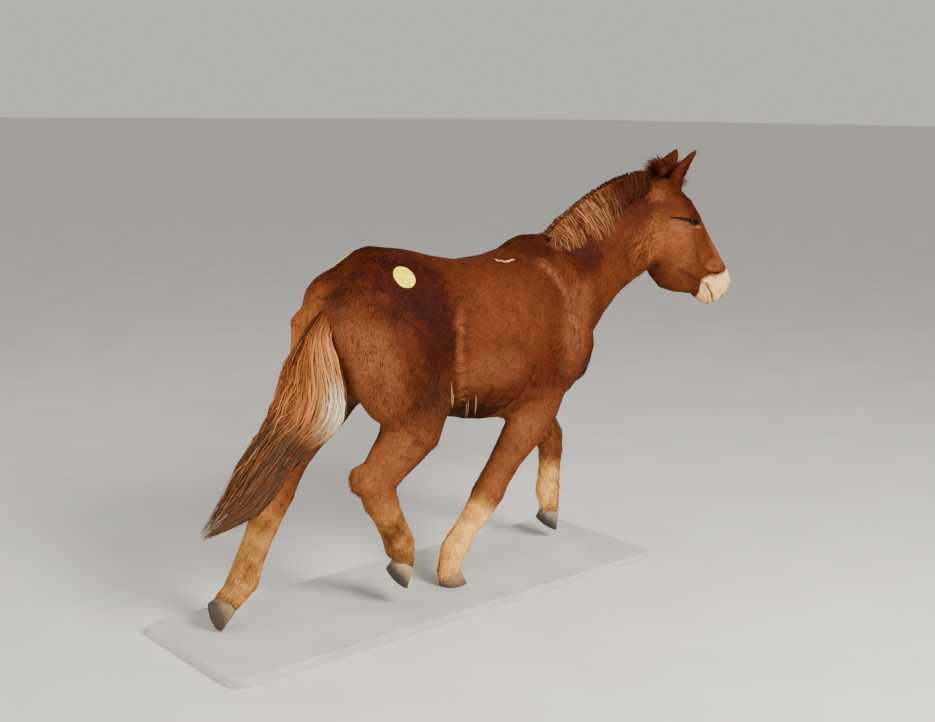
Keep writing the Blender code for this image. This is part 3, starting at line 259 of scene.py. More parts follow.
# Coat: how deep the skin lies under the tips of the hair, how long the tufts are, how far apart they
# stand, and their half width and height as shares of that
COAT_DEPTH = {"trunk": 0.0042, "foot": 0.0034, "head": 0.0024, "muzzle": 0.0016, "ear": 0.0008}
TUFT_LENGTH = {"trunk": 0.028, "cannon": 0.023, "foot": 0.015, "head": 0.014, "muzzle": 0.0062, "ear": 0.014}
TUFT_SPACING = {"trunk": 0.0047, "leg": 0.0041, "head": 0.0031, "muzzle": 0.0024}
WOOL_LONGER = 0.008
NECK_LONGER = 0.012
CHEEK_LONGER = 0.024
BEHIND_FOOT_LONGER = 0.016
TUFT_HALF_WIDTH = 0.50
TUFT_HEIGHT = 0.25
TUFT_ROOT_DEPTH = 0.0015
TUFT_LEAN = 0.85
LOCK_LEAN = 0.45
LOCK_HEIGHT = 0.40
ROOT_TRIES = 2.5
ROOT_GAP = 0.76
TONE_SPREAD = 0.12
COAT_ROUGHNESS = 0.74
COAT_GLOSS = 0.06
UNWRAP_TRIANGLES = 7000

# Mane: locks and bunches, where they start and end along the neck, how they rise and hang there
MANE_LOCKS = 4600
MANE_BUNCHES = 26
MANE_LEFT_SHARE = 0.28
MANE_HALF_WIDTHS = (0.0008, 0.0021)
MANE_START = 0.462
MANE_END = 0.925
MANE_RISE = ((0.462, 0.010), (0.540, 0.038), (0.780, 0.044), (0.930, 0.054))
MANE_HANG = ((0.462, 0.026), (0.520, 0.074), (0.600, 0.080), (0.680, 0.098), (0.760, 0.062), (0.930, 0.030))
LOCK_TAPER = (0.80, 1.0, 1.0, 0.85, 0.55)

# Pale hairs that hang from the flank: x and z of the root, length
GUARD_HALF_WIDTH = 0.00055
GUARD_COLOUR = (0.55, 0.36, 0.20)
GUARD_HAIRS = (
    (-0.150, 0.770, 0.075), (-0.132, 0.735, 0.050), (-0.060, 0.700, 0.060), (-0.035, 0.720, 0.070),
)

# Crown tuft: first and last root along the face, lean and length there
CROWN_LOCKS = 3200
CROWN_ROOTS = (-0.034, 0.036)
CROWN_LEAN = (math.radians(-74), math.radians(78))
CROWN_LENGTH = (0.092, 0.084)
CROWN_HALF_WIDTHS = (0.0007, 0.0018)

# Tail: x, y, z of the middle, half width across the fan, half thickness
TAIL = (
    (-0.465, 0.000, 1.075, 0.026, 0.028),
    (-0.520, -0.002, 1.008, 0.036, 0.034),
    (-0.572, -0.018, 0.948, 0.058, 0.036),
    (-0.600, -0.036, 0.872, 0.104, 0.038),
    (-0.603, -0.038, 0.808, 0.112, 0.042),
    (-0.610, -0.034, 0.745, 0.122, 0.042),
    (-0.636, -0.022, 0.672, 0.118, 0.040),
    (-0.678, -0.010, 0.617, 0.108, 0.038),
    (-0.722, 0.000, 0.563, 0.100, 0.034),
    (-0.775, 0.008, 0.495, 0.100, 0.028),
    (-0.830, 0.017, 0.432, 0.086, 0.022),
    (-0.892, 0.030, 0.385, 0.060, 0.014),
    (-0.975, 0.046, 0.338, 0.016, 0.004),
)
TAIL_TURN_HEIGHTS = (0.93, 0.74)
TAIL_TURN_ANGLES = (math.radians(22), math.radians(43))
TAIL_LOCKS = 2700
TAIL_RINGS = 10
TAIL_HALF_WIDTHS = (0.0016, 0.0040)
TAIL_LOCK_HEIGHT = 0.35

# Label: the torn rest of it
LABEL_ROWS = 24
LABEL_LENGTH = 0.074
LABEL_THICKNESS = 0.0009
LABEL_SLANT = 0.026
LABEL_END_HALF_WIDTH = 0.0012
LABEL_MORE_HALF_WIDTH = 0.0056

HOOF_HEIGHT = 0.050
HOOF_RINGS = 46.0

# Light: name, power, size, tint and place of the lamps, which face the middle of the body
LAMPS = (
    ("key", 470.0, 1.6, (1.0, 0.95, 0.88), Vector((0.2, -4.0, 3.5))),
    ("fill", 150.0, 4.0, (1.0, 0.97, 0.93), Vector((-4.4, 0.6, 2.0))),
)
LAMP_AIM = Vector((0.0, 0.0, 0.75))
SKY_COLOUR = (1.0, 0.965, 0.90, 1.0)
SKY_STRENGTH = 0.62


def smooth(value, low, high):
    """0 at low, 1 at high, with soft ends; for numbers and arrays."""
    share = np.clip((value - low) / (high - low), 0.0, 1.0)
    return share * share * (3 - 2 * share)


def bump(value, middle, reach):
    """1 at the middle, 0 at reach to both sides."""
    return 1 - smooth(np.abs(value - middle), 0.0, reach)


def line_gap(u, v, line):
    """How far the places (u, v) are from a broken line."""
    gap = np.full(len(u), 9.0)
    for (u0, v0), (u1, v1) in zip(line, line[1:]):
        du, dv = u1 - u0, v1 - v0
        share = np.clip(((u - u0) * du + (v - v0) * dv) / (du * du + dv * dv), 0, 1)
        gap = np.minimum(gap, np.hypot(u - u0 - share * du, v - v0 - share * dv))
    return gap


def oval_share(u, v, row, ragged):
    """1 in the middle of a soft-edged oval, 0 outside."""
    middle_u, middle_v, half_u, half_v, tilt = row[:5]
    turned = math.radians(tilt)
    u, v = u - middle_u, v - middle_v
    long_way = (u * math.cos(turned) + v * math.sin(turned)) / half_u
    short_way = (v * math.cos(turned) - u * math.sin(turned)) / half_v
    return 1 - smooth(np.hypot(long_way, short_way) + ragged, 0.45, 1.20)


def waves(points, length, seed=0):
    """Smooth noise from about -1 to 1, with features about this long."""
    chance = np.random.default_rng(seed)
    total = np.zeros(len(points))
    for _ in range(7):
        way = chance.normal(size=3)
        way *= 2 * math.pi / length / np.linalg.norm(way) * chance.uniform(0.5, 1.3)
        total += np.sin(points @ way + chance.uniform(0, 6.3) + 1.3 * np.sin(points @ way[::-1] * 0.6))
    return total / 3.2


def unit(vectors):
    return vectors / np.maximum(np.linalg.norm(vectors, axis=-1, keepdims=True), 1e-9)


def on_head(along, out, left):
    return POLL + ALONG * along + BROWWARD * out + HEAD_LEFT * left


def head_coordinates(points):
    """Along the face, towards the forehead and to the left, from the poll."""
    axes = np.array((ALONG, BROWWARD, HEAD_LEFT)).T
    return (points - np.array(POLL)) @ axes


class Lie:
    """What the coat's places have to do with the body, for arrays of points in the source's frame."""

    def __init__(self, points, normals):
        self.points = points
        self.normals = normals
        x, y, z = points.T
        self.x, self.y, self.z = x, y, z
        self.face = head_coordinates(points)
        front = (points - np.array(POLL)) @ np.array(FORWARD)
        self.head = smooth(front, -0.050, -0.005) * smooth(z, 0.90, 0.94)
        self.neck = smooth(x * 0.855 + z * 0.518, 0.96, 1.10) * (1 - self.head)
        self.leg_way = np.zeros_like(points)
        self.leg_down = np.zeros(len(points))
        self.leg_name = np.full(len(points), "", dtype=object)
        nearest = np.full(len(points), 9.0)
        for name, line in LEG_LINES.items():
            line = np.array(line)
            for i, (start, end) in enumerate(zip(line, line[1:])):
                way = end - start
                share = np.clip(((points - start) @ way) / (way @ way), 0, 1)
                gap = np.linalg.norm(points - start - share[:, None] * way, axis=1)
                closer = (gap < nearest) & (gap < 0.17)
                nearest = np.where(closer, gap, nearest)
                self.leg_way[closer] = way / np.linalg.norm(way)
                self.leg_down[closer] = ((i + share) / (len(line) - 1))[closer]
                self.leg_name[closer] = name
        self.leg = smooth(z, 0.78, 0.56) * (self.leg_name != "")
        self.foot = smooth(self.leg_down, 0.70, 0.86) * self.leg
        self.cannon = smooth(self.leg_down, 0.42, 0.56) * self.leg
        self.ear = self.ear_share()

    def ear_share(self):
        along, out, left = self.face.T
        return smooth(out, 0.088, 0.106) * smooth(along, 0.10, 0.06) * smooth(np.abs(left), 0.020, 0.032)


def neck_loft():
    rings = []
    for crest_x, crest_z, under_x, under_z, y, half in NECK:
        crest = Vector((crest_x, y, crest_z))
        under = Vector((under_x, y, under_z))
        up = (crest - under).normalized()
        turn = HEAD_TURN * 0.9 * float(smooth(crest_x, NECK[0][0], NECK[-1][0]))
        side = Vector((-math.sin(turn), math.cos(turn), 0))
        wide = under.lerp(crest, 0.42)
        rings.append(oval(wide, side, up, half, (crest - wide).length, (wide - under).length, 1.8, 2.1))
    return loft("neck_form", rings)


def head_loft():
    rings = []
    for along, top, wide, low, half in HEAD:
        centre = on_head(along, wide, 0)
        rings.append(oval(centre, HEAD_LEFT, BROWWARD, half, top - wide, wide - low, 2.3, 2.1))
    return loft("head_form", rings)


def oval(centre, side, up, half_width, rise, drop, top_full, low_full, sides=40):
    points = []
    for i in range(sides):
        angle = 2 * math.pi * i / sides
        above = math.sin(angle) > 0
        full = top_full if above else low_full
        across = math.copysign(abs(math.cos(angle)) ** (2 / full), math.cos(angle)) * half_width
        height = math.copysign(abs(math.sin(angle)) ** (2 / full), math.sin(angle))
        height *= rise if above else drop
        points.append(centre + side * across + up * height)
    return points


def loft(name, rings):
    """A closed skin over rings of equally many points."""
    bm = bmesh.new()
    rows = [[bm.verts.new(p + SHIFT) for p in ring] for ring in rings]
    count = len(rows[0])
    for row, following in zip(rows, rows[1:]):
        for i in range(count):
            j = (i + 1) % count
            bm.faces.new((row[i], row[j], following[j], following[i]))
    bm.faces.new(rows[0])
    bm.faces.new(rows[-1])
    bmesh.ops.recalc_face_normals(bm, faces=bm.faces)
    return object_of(name, bm)


def object_of(name, bm):
    mesh = bpy.data.meshes.new(name)
    bm.to_mesh(mesh)
    bm.free()
    obj = bpy.data.objects.new(name, mesh)
    bpy.context.scene.collection.objects.link(obj)
    return obj


def pick(*objects):
    """Selects these alone, the last one active."""
    bpy.ops.object.select_all(action="DESELECT")
    for obj in objects:
        obj.select_set(True)
    bpy.context.view_layer.objects.active = objects[-1]


def nothing_picked():
    """Deselects everything, with a mesh active so that operators have their context."""
    pick(NODES["torso"])
    bpy.ops.object.select_all(action="DESELECT")


def give(obj, material):
    obj.data.materials.clear()
    obj.data.materials.append(material)


def applied(obj, kind, **settings):
    pick(obj)
    modifier = obj.modifiers.new(kind.title(), kind)
    for key, value in settings.items():
        setattr(modifier, key, value)
    bpy.ops.object.modifier_apply(modifier=modifier.name)


def node_copy(name, grow):
    """A welded copy of a solid with its surface moved outwards, so that neighbours overlap."""
    bm = bmesh.new()
    bm.from_mesh(NODES[name].data)
    bmesh.ops.remove_doubles(bm, verts=bm.verts, dist=1e-5)
    bm.normal_update()
    for vertex, move in [(v, v.normal * grow) for v in bm.verts]:
        vertex.co += move
    return object_of(name + "_form", bm)


def head_masses():
    made = []
    axes = Matrix((ALONG, BROWWARD, HEAD_LEFT)).transposed().to_4x4()
    for place, radii in HEAD_MASSES:
        for sign in (1, -1) if place[2] else (1,):
            bm = bmesh.new()
            bmesh.ops.create_uvsphere(bm, u_segments=28, v_segments=16, radius=1.0)
            centre = on_head(place[0], place[1], place[2] * sign) + SHIFT
            shape = Matrix.Translation(centre) @ axes @ Matrix.Diagonal((*radii, 1.0))
            bmesh.ops.transform(bm, matrix=shape, verts=bm.verts)
            made.append(object_of("mass_form", bm))
    return made


def points_of(mesh):
    flat = np.zeros(len(mesh.vertices) * 3, np.float32)
    mesh.vertices.foreach_get("co", flat)
    return flat.reshape(-1, 3).astype(float)


def normals_of(mesh):
    flat = np.zeros(len(mesh.vertices) * 3, np.float32)
    mesh.vertex_normals.foreach_get("vector", flat)
    return flat.reshape(-1, 3).astype(float)


def set_points(mesh, points):
    mesh.vertices.foreach_set("co", points.astype(np.float32).ravel())
    mesh.update()


def set_weights(obj, name, values):
    group = obj.vertex_groups.new(name=name)
    steps = np.round(values * 20).astype(int)
    for step in range(1, 21):
        chosen = np.nonzero(steps == step)[0]
        if len(chosen):
            group.add(chosen.tolist(), step / 20, "REPLACE")


def coat_depth(lie):
    """How deep the skin lies under the tips of the coat."""
    depth = np.full(len(lie.x), COAT_DEPTH["trunk"])
    depth = depth + (COAT_DEPTH["foot"] - depth) * lie.foot
    depth = depth + (COAT_DEPTH["head"] - depth) * lie.head
    depth = depth + (COAT_DEPTH["muzzle"] - depth) * lie.head * smooth(lie.face[:, 0], 0.40, 0.46)
    return depth + (COAT_DEPTH["ear"] - depth) * lie.ear


def make_skin():
    """One closed skin over torso, neck, head, ears and legs."""
    forms = [node_copy(name, SKIN_OVERLAP) for name in ["torso"] + ["leg_" + name for name in LEG_LINES]]
    forms += [node_copy(name, EAR_GROWTH) for name in ("ear_left", "ear_right")]
    forms += [neck_loft(), head_loft()] + head_masses()
    pick(*forms)
    bpy.ops.object.join()
    skin = bpy.context.view_layer.objects.active
    skin.name = "skin"
    applied(skin, "REMESH", mode="VOXEL", voxel_size=VOXEL * 1, adaptivity=0.0)
    lie = Lie(points_of(skin.data) - np.array(SHIFT), normals_of(skin.data))
    set_weights(skin, "soft", 1 - lie.ear)
    fewer = 1
    applied(skin, "SMOOTH", factor=0.5, iterations=SMOOTH_ROUNDS // fewer, vertex_group="soft")
    applied(skin, "SMOOTH", factor=0.5, iterations=2)
    joint = oval_share(lie.x, lie.z, NECK_JOINT, 0) * (1 - lie.head) * smooth(np.abs(lie.y), 0.02, 0.05)
    set_weights(skin, "joint", joint)
    applied(skin, "SMOOTH", factor=0.5, iterations=JOINT_ROUNDS // fewer, vertex_group="joint")
    set_points(skin.data, points_of(skin.data) - normals_of(skin.data) * coat_depth(lie)[:, None])
    skin.vertex_groups.clear()
    set_weights(skin, "plain", 1 - lie.head)
    total = len(skin.data.polygons) * 2
    applied(skin, "DECIMATE", ratio=min(1.0, SKIN_TRIANGLES / total), vertex_group="plain")
    skin.vertex_groups.clear()
    keep_largest(skin)
    return skin


def keep_largest(obj):
    """Leaves only the largest connected surface."""
    bm = bmesh.new()
    bm.from_mesh(obj.data)
    left = set(bm.verts)
    shells = []
    while left:
        stack = [left.pop()]
        shell = []
        while stack:
            vertex = stack.pop()
            shell.append(vertex)
            for edge in vertex.link_edges:
                other = edge.other_vert(vertex)
                if other in left:
                    left.remove(other)
                    stack.append(other)
        shells.append(shell)
    shells.sort(key=len)
    for shell in shells[:-1]:
        bmesh.ops.delete(bm, geom=shell, context="VERTS")
    bm.to_mesh(obj.data)
    bm.free()


def eye_frame(sign):
    """The eye's middle and its axes: along the slit, upwards, out of the head."""
    centre = on_head(EYE_PLACE[0], EYE_PLACE[1], EYE_PLACE[2] * sign)
    slit = ALONG * math.cos(EYE_SLANT) + BROWWARD * math.sin(EYE_SLANT)
    out = (HEAD_LEFT * sign + slit * 0.12).normalized()
    slit = (slit - out * slit.dot(out)).normalized()
    return centre, slit, slit.cross(out) * sign, out


class EyePlan:
    """Where points lie round an eye: along the slit, upwards, and the lines of its lids."""

    def __init__(self, points, eye):
        middle, slit, up, out = eye
        offset = points - np.array(middle + out * EYE_BALL)
        self.u, self.v, self.w = (offset @ np.array(axis) for axis in (slit, up, out))
        self.near = smooth(np.linalg.norm(offset, axis=1), 0.135, 0.115) * (self.w > -0.05)
        almond_height = EYE_HALF_HEIGHT * (1 - 0.30 * smooth(self.v, 0.0, 0.004))
        self.almond = np.hypot(self.u / EYE_HALF_LENGTH, self.v / almond_height)
        self.above = smooth(self.v, -0.002, 0.006)
        taper = 0.0048 + 0.0052 * smooth(self.u, -0.090, -0.040)
        self.crease = 1 - smooth(line_gap(self.u, self.v, EYE_CREASE) / taper, 0.45, 1.15)
        arch = self.v - 0.0165 + (self.u * 5.2) ** 2 * 0.6
        self.fold = bump(arch, 0.0, 0.0046) * smooth(np.abs(self.u), 0.034, 0.020)


def split_near(obj, centre, reach):
    """Divides the faces within reach of a place into four."""
    bm = bmesh.new()
    bm.from_mesh(obj.data)
    edges = [e for e in bm.edges if (e.verts[0].co - centre).length < reach]
    bmesh.ops.subdivide_edges(bm, edges=edges, cuts=1, use_grid_fill=True)
    bmesh.ops.triangulate(bm, faces=[f for f in bm.faces if len(f.verts) > 3])
    bm.to_mesh(obj.data)
    bm.free()


def surface_of(obj):
    bm = bmesh.new()
    bm.from_mesh(obj.data)
    tree = BVHTree.FromBMesh(bm)
    bm.free()
    return tree


def shape_eye(skin, sign):
    """Sinks the opening of the eye and raises the lids round it; returns the eyeball's middle and axes."""
    centre, slit, up, out = eye_frame(sign)
    rim = surface_of(skin).ray_cast(centre + SHIFT + out * 0.3, -out)[0]
    split_near(skin, rim - slit * 0.03, EYE_SPLIT_REACH * 1.6)
    split_near(skin, rim, EYE_SPLIT_REACH * 0.75)
    eye = (rim - out * EYE_BALL, slit, up, out)
    points = points_of(skin.data)
    plan = EyePlan(points, eye)
    push = -EYE_OPENING_DEPTH * (1 - smooth(plan.almond, 0.70, 1.05))
    push += (LID_RISE + UPPER_LID_EXTRA * plan.above) * bump(plan.almond, 1.35, 0.50)
    push -= LID_FOLD_DEPTH * plan.fold
    push -= EYE_CREASE_DEPTH * plan.crease
    push += BROW_RISE * bump(plan.v, 0.030, 0.018) * bump(plan.u, 0.002, 0.045)
    push += 0.0030 * bump(plan.v, -0.014, 0.014) * bump(plan.u, -0.045, 0.050)
    under = plan.v + EYE_HALF_HEIGHT * 2.1 - (plan.u * 5) ** 2 * 0.3
    push -= 0.0016 * bump(under, 0.0, 0.005) * smooth(np.abs(plan.u), 0.036, 0.02)
    set_points(skin.data, points + np.array(out) * (push * plan.near)[:, None])
    return rim - out * (EYE_BALL + 0.0015), slit, up, out


def nostril_gap(along, out):
    """The distance from the nostril's slit, as a share of its half width, which shrinks to its ends."""
    way = (along - 0.432) * 0.54 + (out - 0.046) * 0.84
    half_width = 0.0074 - 0.0038 * smooth(np.abs(way), 0.004, 0.026)
    return line_gap(along, out, NOSTRIL_SLIT) / half_width


def shape_muzzle(skin):
    """Nostrils, the line of the mouth, lips and chin."""
    for sign in (1, -1):
        split_near(skin, on_head(0.432, 0.045, 0.050 * sign) + SHIFT, 0.042)
        split_near(skin, on_head(0.470, -0.018, 0.040 * sign) + SHIFT, 0.050)
    points = points_of(skin.data)
    normals = normals_of(skin.data)
    face = head_coordinates(points - np.array(SHIFT))
    along, out, left = face.T
    front = (along > 0.30) & (out < 0.16) & (np.abs(left) < 0.10)
    outer = smooth(np.abs(left), 0.022, 0.034)
    push = -NOSTRIL_DEPTH * (1 - smooth(nostril_gap(along, out), 0.15, 1.0)) * outer
    push += NOSTRIL_RIM * bump(nostril_gap(along, out), 1.7, 0.9) * outer
    push -= 0.0020 * (1 - smooth(line_gap(along, out, NOSTRIL_CREASE), 0.001, 0.006)) * outer
    push += 0.0035 * bump(np.hypot(along - 0.400, out - 0.052), 0.0, 0.030) * outer
    mouth = line_gap(along, out, MOUTH_LINE)
    push -= MOUTH_DEPTH * (1 - smooth(mouth, 0.0006, 0.0055))
    push += LIP_RISE * bump(mouth, 0.0105, 0.0075) * smooth(along, 0.425, 0.450)
    push -= JAW_CREASE_DEPTH * (1 - smooth(line_gap(along, out, JAW_CREASE), 0.001, 0.014)) * outer
    push += 0.0016 * waves(face, 0.030, 5) * smooth(along, 0.42, 0.47)
    push = np.where(front, push, 0.0)
    set_points(skin.data, points + normals * push[:, None])


def shape_cheeks(skin):
    """Facial crest, jaw edge, veins and folds on the sides of the head."""
    points = points_of(skin.data)
    normals = normals_of(skin.data)
    face = head_coordinates(points - np.array(SHIFT))
    along, out, left = face.T
    side = smooth(np.abs(left), 0.030, 0.050)
    inside = (along > -0.05) & (along < 0.5) & (np.abs(left) < 0.13)
    crest = out - 0.012 + (along - 0.29) * 0.10
    push = FACIAL_CREST_RISE * bump(crest, 0.0, 0.022) * bump(along, 0.290, 0.090) * side
    push -= 0.0018 * bump(crest, 0.032, 0.026) * bump(along, 0.285, 0.090) * side
    for start, slope, swing in ((-0.030, -0.35, 55), (-0.052, -0.20, 70), (0.002, -0.45, 48)):
        vein = out - start - (along - 0.330) * slope + 0.006 * np.sin(along * swing)
        push += VEIN_RISE * bump(vein, 0.0, 0.0085) * bump(along, 0.335, 0.065) * side
    hollow = np.hypot((along - 0.115) / 0.030, (out - 0.060) / 0.020)
    push -= TEMPLE_HOLLOW * (1 - smooth(hollow, 0.2, 1.2)) * side
    push += 0.0012 * waves(face, 0.045, 8) * side
    push = np.where(inside, push, 0.0)
    set_points(skin.data, points + normals * push[:, None])


def shape_body(skin):
    """Folds of skin and muscle on the trunk, which the solids leave plain."""
    points = points_of(skin.data)
    normals = normals_of(skin.data)
    lie = Lie(points - np.array(SHIFT), normals)
    x, y, z = lie.x, lie.y, lie.z
    side = smooth(np.abs(y), 0.06, 0.12)
    trunk = (1 - lie.head) * (1 - lie.leg)
    push = 0.0022 * waves(lie.points, 0.16, 3) * trunk
    push += 0.0012 * waves(lie.points, 0.060, 4) * trunk * woolly(lie)
    edge = line_gap(x, z, SHOULDER_EDGE)
    push += SHOULDER_EDGE_RISE * (1 - smooth(edge, 0.004, 0.030)) * side
    behind = line_gap(x - 0.034, z - 0.010, SHOULDER_EDGE)
    push -= 0.0030 * (1 - smooth(behind, 0.004, 0.030)) * side
    rear = bump(z, 1.03, 0.13) * smooth(x, -0.43, -0.50) * smooth(y, 0.015, 0.060)
    push += BUTTOCK_RISE * rear * trunk
    ribs = np.sin((x + 0.25 * z) * 2 * math.pi / RIB_PITCH)
    push += RIB_RISE * ribs * side * bump(x, 0.08, 0.18) * bump(z, 0.86, 0.20)
    push += FLANK_FOLD_RISE * (1 - smooth(line_gap(x, z, FLANK_FOLD), 0.003, 0.024)) * side
    push -= FLANK_HOLLOW * (1 - smooth(line_gap(x + 0.038, z, FLANK_FOLD), 0.004, 0.036)) * side
    set_points(skin.data, points + normals * push[:, None])


def woolly(lie):
    """Where the coat is woollier: stifle, gaskin, belly, chest and cannons."""
    behind = bump(lie.x, -0.33, 0.20) * smooth(lie.z, 0.90, 0.74)
    below = smooth(lie.z, 0.82, 0.70) * (1 - lie.leg)
    front = bump(lie.x, 0.52, 0.14) * bump(lie.z, 0.90, 0.20)
    return np.clip(np.maximum.reduce((behind, below, 0.7 * front, 0.6 * lie.leg)), 0, 1) * (1 - lie.head)


def mixed(colour, other, share):
    return colour + (np.array(other) - colour) * share[:, None]


def leg_marking(lie, colour, small, fine):
    """Chestnut above, tan and cream down the cannons, a darker front of the gaskin."""
    hind = np.isin(lie.leg_name, ("hind_right", "hind_left"))
    back = smooth(lie.normals[:, 0], 0.2, -0.5)
    upper = lie.leg * (1 - lie.cannon)
    colour = mixed(colour, CHESTNUT, upper * (0.35 + 0.25 * small))
    colour = mixed(colour, ORANGE, upper * (0.50 + 0.45 * back))
    colour = mixed(colour, WOOL_DARK, upper * smooth(lie.normals[:, 0], 0.0, 0.55) * hind * 0.50)
    knee = lie.leg * smooth(lie.leg_down, 0.30, 0.48)
    colour = mixed(colour, TAN, np.clip(knee * (0.66 + 0.25 * small - 0.26 * hind), 0, 1))
    paler = 0.12 * np.isin(lie.leg_name, ("front_right", "hind_left"))
    uneven = (0.20 * small + 0.12 * fine) * (1 - 0.65 * hind)
    pale = lie.cannon * (0.84 - 0.71 * hind + paler + uneven)
    colour = mixed(colour, CREAM, np.clip(pale, 0, 1))
    pastern = lie.leg * bump(lie.leg_down, 0.90, 0.10)
    return mixed(colour, CHESTNUT, pastern * 0.30)


def head_marking(lie, small, fine):
    """Chestnut head with a maroon forehead, an orange cheek and a cream muzzle, painted highlights under the
    eye and at the ear's root, and painted shade under the jaw and in its crease.
    """
    along, out, left = lie.face.T
    colour = np.tile(np.array(RUST), (len(along), 1))
    colour = mixed(colour, CHESTNUT, smooth(along, 0.05, 0.18))
    for row in HEAD_MARKS:
        colour = mixed(colour, row[5], oval_share(along, out, row, 0.08 * small + 0.05 * fine) * row[6])
    # Painted shade in the crease from the jaw to the mouth
    dark = 1 - smooth(line_gap(along, out, JAW_CREASE), 0.002, 0.014)
    colour = mixed(colour, SHADE, dark * 0.50 * smooth(np.abs(left), 0.02, 0.04))
    edge = np.interp(out, [row[0] for row in MUZZLE_EDGE], [row[1] for row in MUZZLE_EDGE]) + 0.004 * fine
    return mixed(colour, PALE_NOSE, smooth(along, edge - 0.008, edge + 0.010))


def marking(lie):
    """The coat's colour at each place, from the form of the body, with painted shade under the belly and
    painted highlights along the shoulder's edge and the flank's fold.
    """
    x, y, z = lie.x, lie.y, lie.z
    big = waves(lie.points, 0.34, 11)
    small = waves(lie.points, 0.085, 12)
    fine = waves(lie.points, 0.030, 13)
    ragged = 0.10 * small + 0.07 * fine
    colour = np.tile(np.array(RUST), (len(x), 1))
    side = 1 - lie.head
    for row in BODY_MARKS:
        colour = mixed(colour, row[5], oval_share(x, z, row, ragged) * row[6] * side)
    # The buttocks' rear is orange; on the left it is lighter, as painted light
    rear = smooth(x, -0.45, -0.54) * bump(z, 0.90, 0.38) * (1 - lie.leg)
    colour = mixed(colour, LIGHT_ORANGE, rear * 0.9 * smooth(y, -0.02, 0.04))
    colour = mixed(colour, ORANGE, rear * 0.9 * smooth(y, 0.04, -0.02))
    # Painted shade on the belly where it faces down
    belly = smooth(lie.normals[:, 2], -0.35, -0.85) * smooth(z, 0.80, 0.68) * bump(x, 0.05, 0.48)
    belly *= 1 - lie.leg
    colour = mixed(colour, SHADE, belly * 0.45)
    crest = lie.neck * smooth(x, 0.66, 0.82) * smooth(z, 1.24, 1.36)
    colour = mixed(colour, MAROON, crest * 0.85)
    outside = smooth(np.abs(y), 0.07, 0.12)
    # Painted highlight along the ridge of the shoulder's edge
    edge = (1 - smooth(line_gap(x, z, SHOULDER_EDGE) + 0.006 * fine, 0.002, 0.026)) * outside
    colour = mixed(colour, PINKISH, edge * 0.70)
    # Painted highlight along the ridge of the flank's fold
    fold = (1 - smooth(line_gap(x, z, FLANK_FOLD) + 0.005 * fine, 0.002, 0.024)) * outside
    colour = mixed(colour, ORANGE, fold * smooth(z, 1.08, 0.95) * 0.80)
    colour = leg_marking(lie, colour, small, fine)
    wool = woolly(lie)
    # Dark patches from noise in the woolly coat, painted as the shade between its clumps
    patchy = wool * smooth(fine + small, 0.1, 1.1) * (0.20 + 0.5 * bump(x, -0.26, 0.16)) * (1 - lie.cannon)
    colour = mixed(colour, WOOL_DARK, np.clip(patchy, 0, 1))
    head = head_marking(lie, small, fine)
    colour = mixed(colour, (0, 0, 0), lie.head) + head * lie.head[:, None]
    colour = mixed(colour, MAROON, lie.ear * 0.55)
    tone = 1 + 0.10 * big + 0.11 * small + 0.10 * fine
    return np.clip(colour * tone[:, None], 0.002, 1)


def face_marks(lie, colour, eyes):
    """Dark lid rims with painted shade under the upper lid, painted shade in the eye's crease and fold, in
    the nostrils and along the mouth, a dark spot on the front of the upper lip, and the paler skin under the
    eyes.
    """
    for eye in eyes:
        plan = EyePlan(lie.points + np.array(SHIFT), eye)
        upper = bump(plan.almond, 2.15, 0.55) * smooth(plan.v, 0.0, 0.006)
        lower = bump(plan.almond, 1.85, 0.40) * smooth(plan.v, -0.001, -0.005)
        colour = mixed(colour, UPPER_LID, upper * 0.85 * plan.near)
        lower *= smooth(plan.u, -0.014, 0.004)
        colour = mixed(colour, CREAM, lower * 0.30 * plan.near)
        # Dark skin of the lid rims, reaching higher above the eye as painted shade under the upper lid;
        # painted shade in the crease behind the eye and in the lid's fold
        lid = 1 - smooth(plan.almond, 1.30 + 0.35 * plan.above, 1.60 + 0.35 * plan.above)
        dark = np.maximum.reduce((lid, plan.crease * 0.97, plan.fold * 0.60))
        colour = mixed(colour, SHADE, np.clip(dark * plan.near, 0, 1))
    along, out, left = lie.face.T
    outer = smooth(np.abs(left), 0.018, 0.030)
    # Painted shade along the mouth's line, in the nostrils' slits and in the crease behind them
    mouth = (1 - smooth(line_gap(along, out, MOUTH_LINE), 0.0014, 0.0062)) * 0.90
    slit = (1 - smooth(nostril_gap(along, out), 0.7, 1.3)) * outer
    crease = (1 - smooth(line_gap(along, out, NOSTRIL_CREASE), 0.001, 0.005)) * outer * 0.7
    chin = oval_share(along, out, (0.541, 0.028, 0.012, 0.014, 0), 0)
    colour = mixed(colour, UPPER_LID, chin * 0.8 * lie.head)
    dark = np.maximum.reduce((mouth, slit, crease)) * lie.head * (along > 0.37)
    return mixed(colour, SHADE, dark)


def set_colour(mesh, colour):
    attribute = mesh.color_attributes.new("marking", "FLOAT_COLOR", "POINT")
    rgba = np.ones((len(colour), 4), np.float32)
    rgba[:, :3] = colour
    attribute.data.foreach_set("color", rgba.ravel())


class Wire:
    """A shader socket that Python's operators work on."""

    def __init__(self, finish, socket):
        self.finish = finish
        self.socket = socket

    def math(self, operation, first, second):
        return self.finish.node("ShaderNodeMath", {"operation": operation}, {0: first, 1: second})

    def __add__(self, other):
        return self.math("ADD", self, other)

    __radd__ = __add__

    def __mul__(self, other):
        return self.math("MULTIPLY", self, other)

    __rmul__ = __mul__

    def __sub__(self, other):
        return self.math("SUBTRACT", self, other)

    def __rsub__(self, other):
        return self.math("SUBTRACT", other, self)


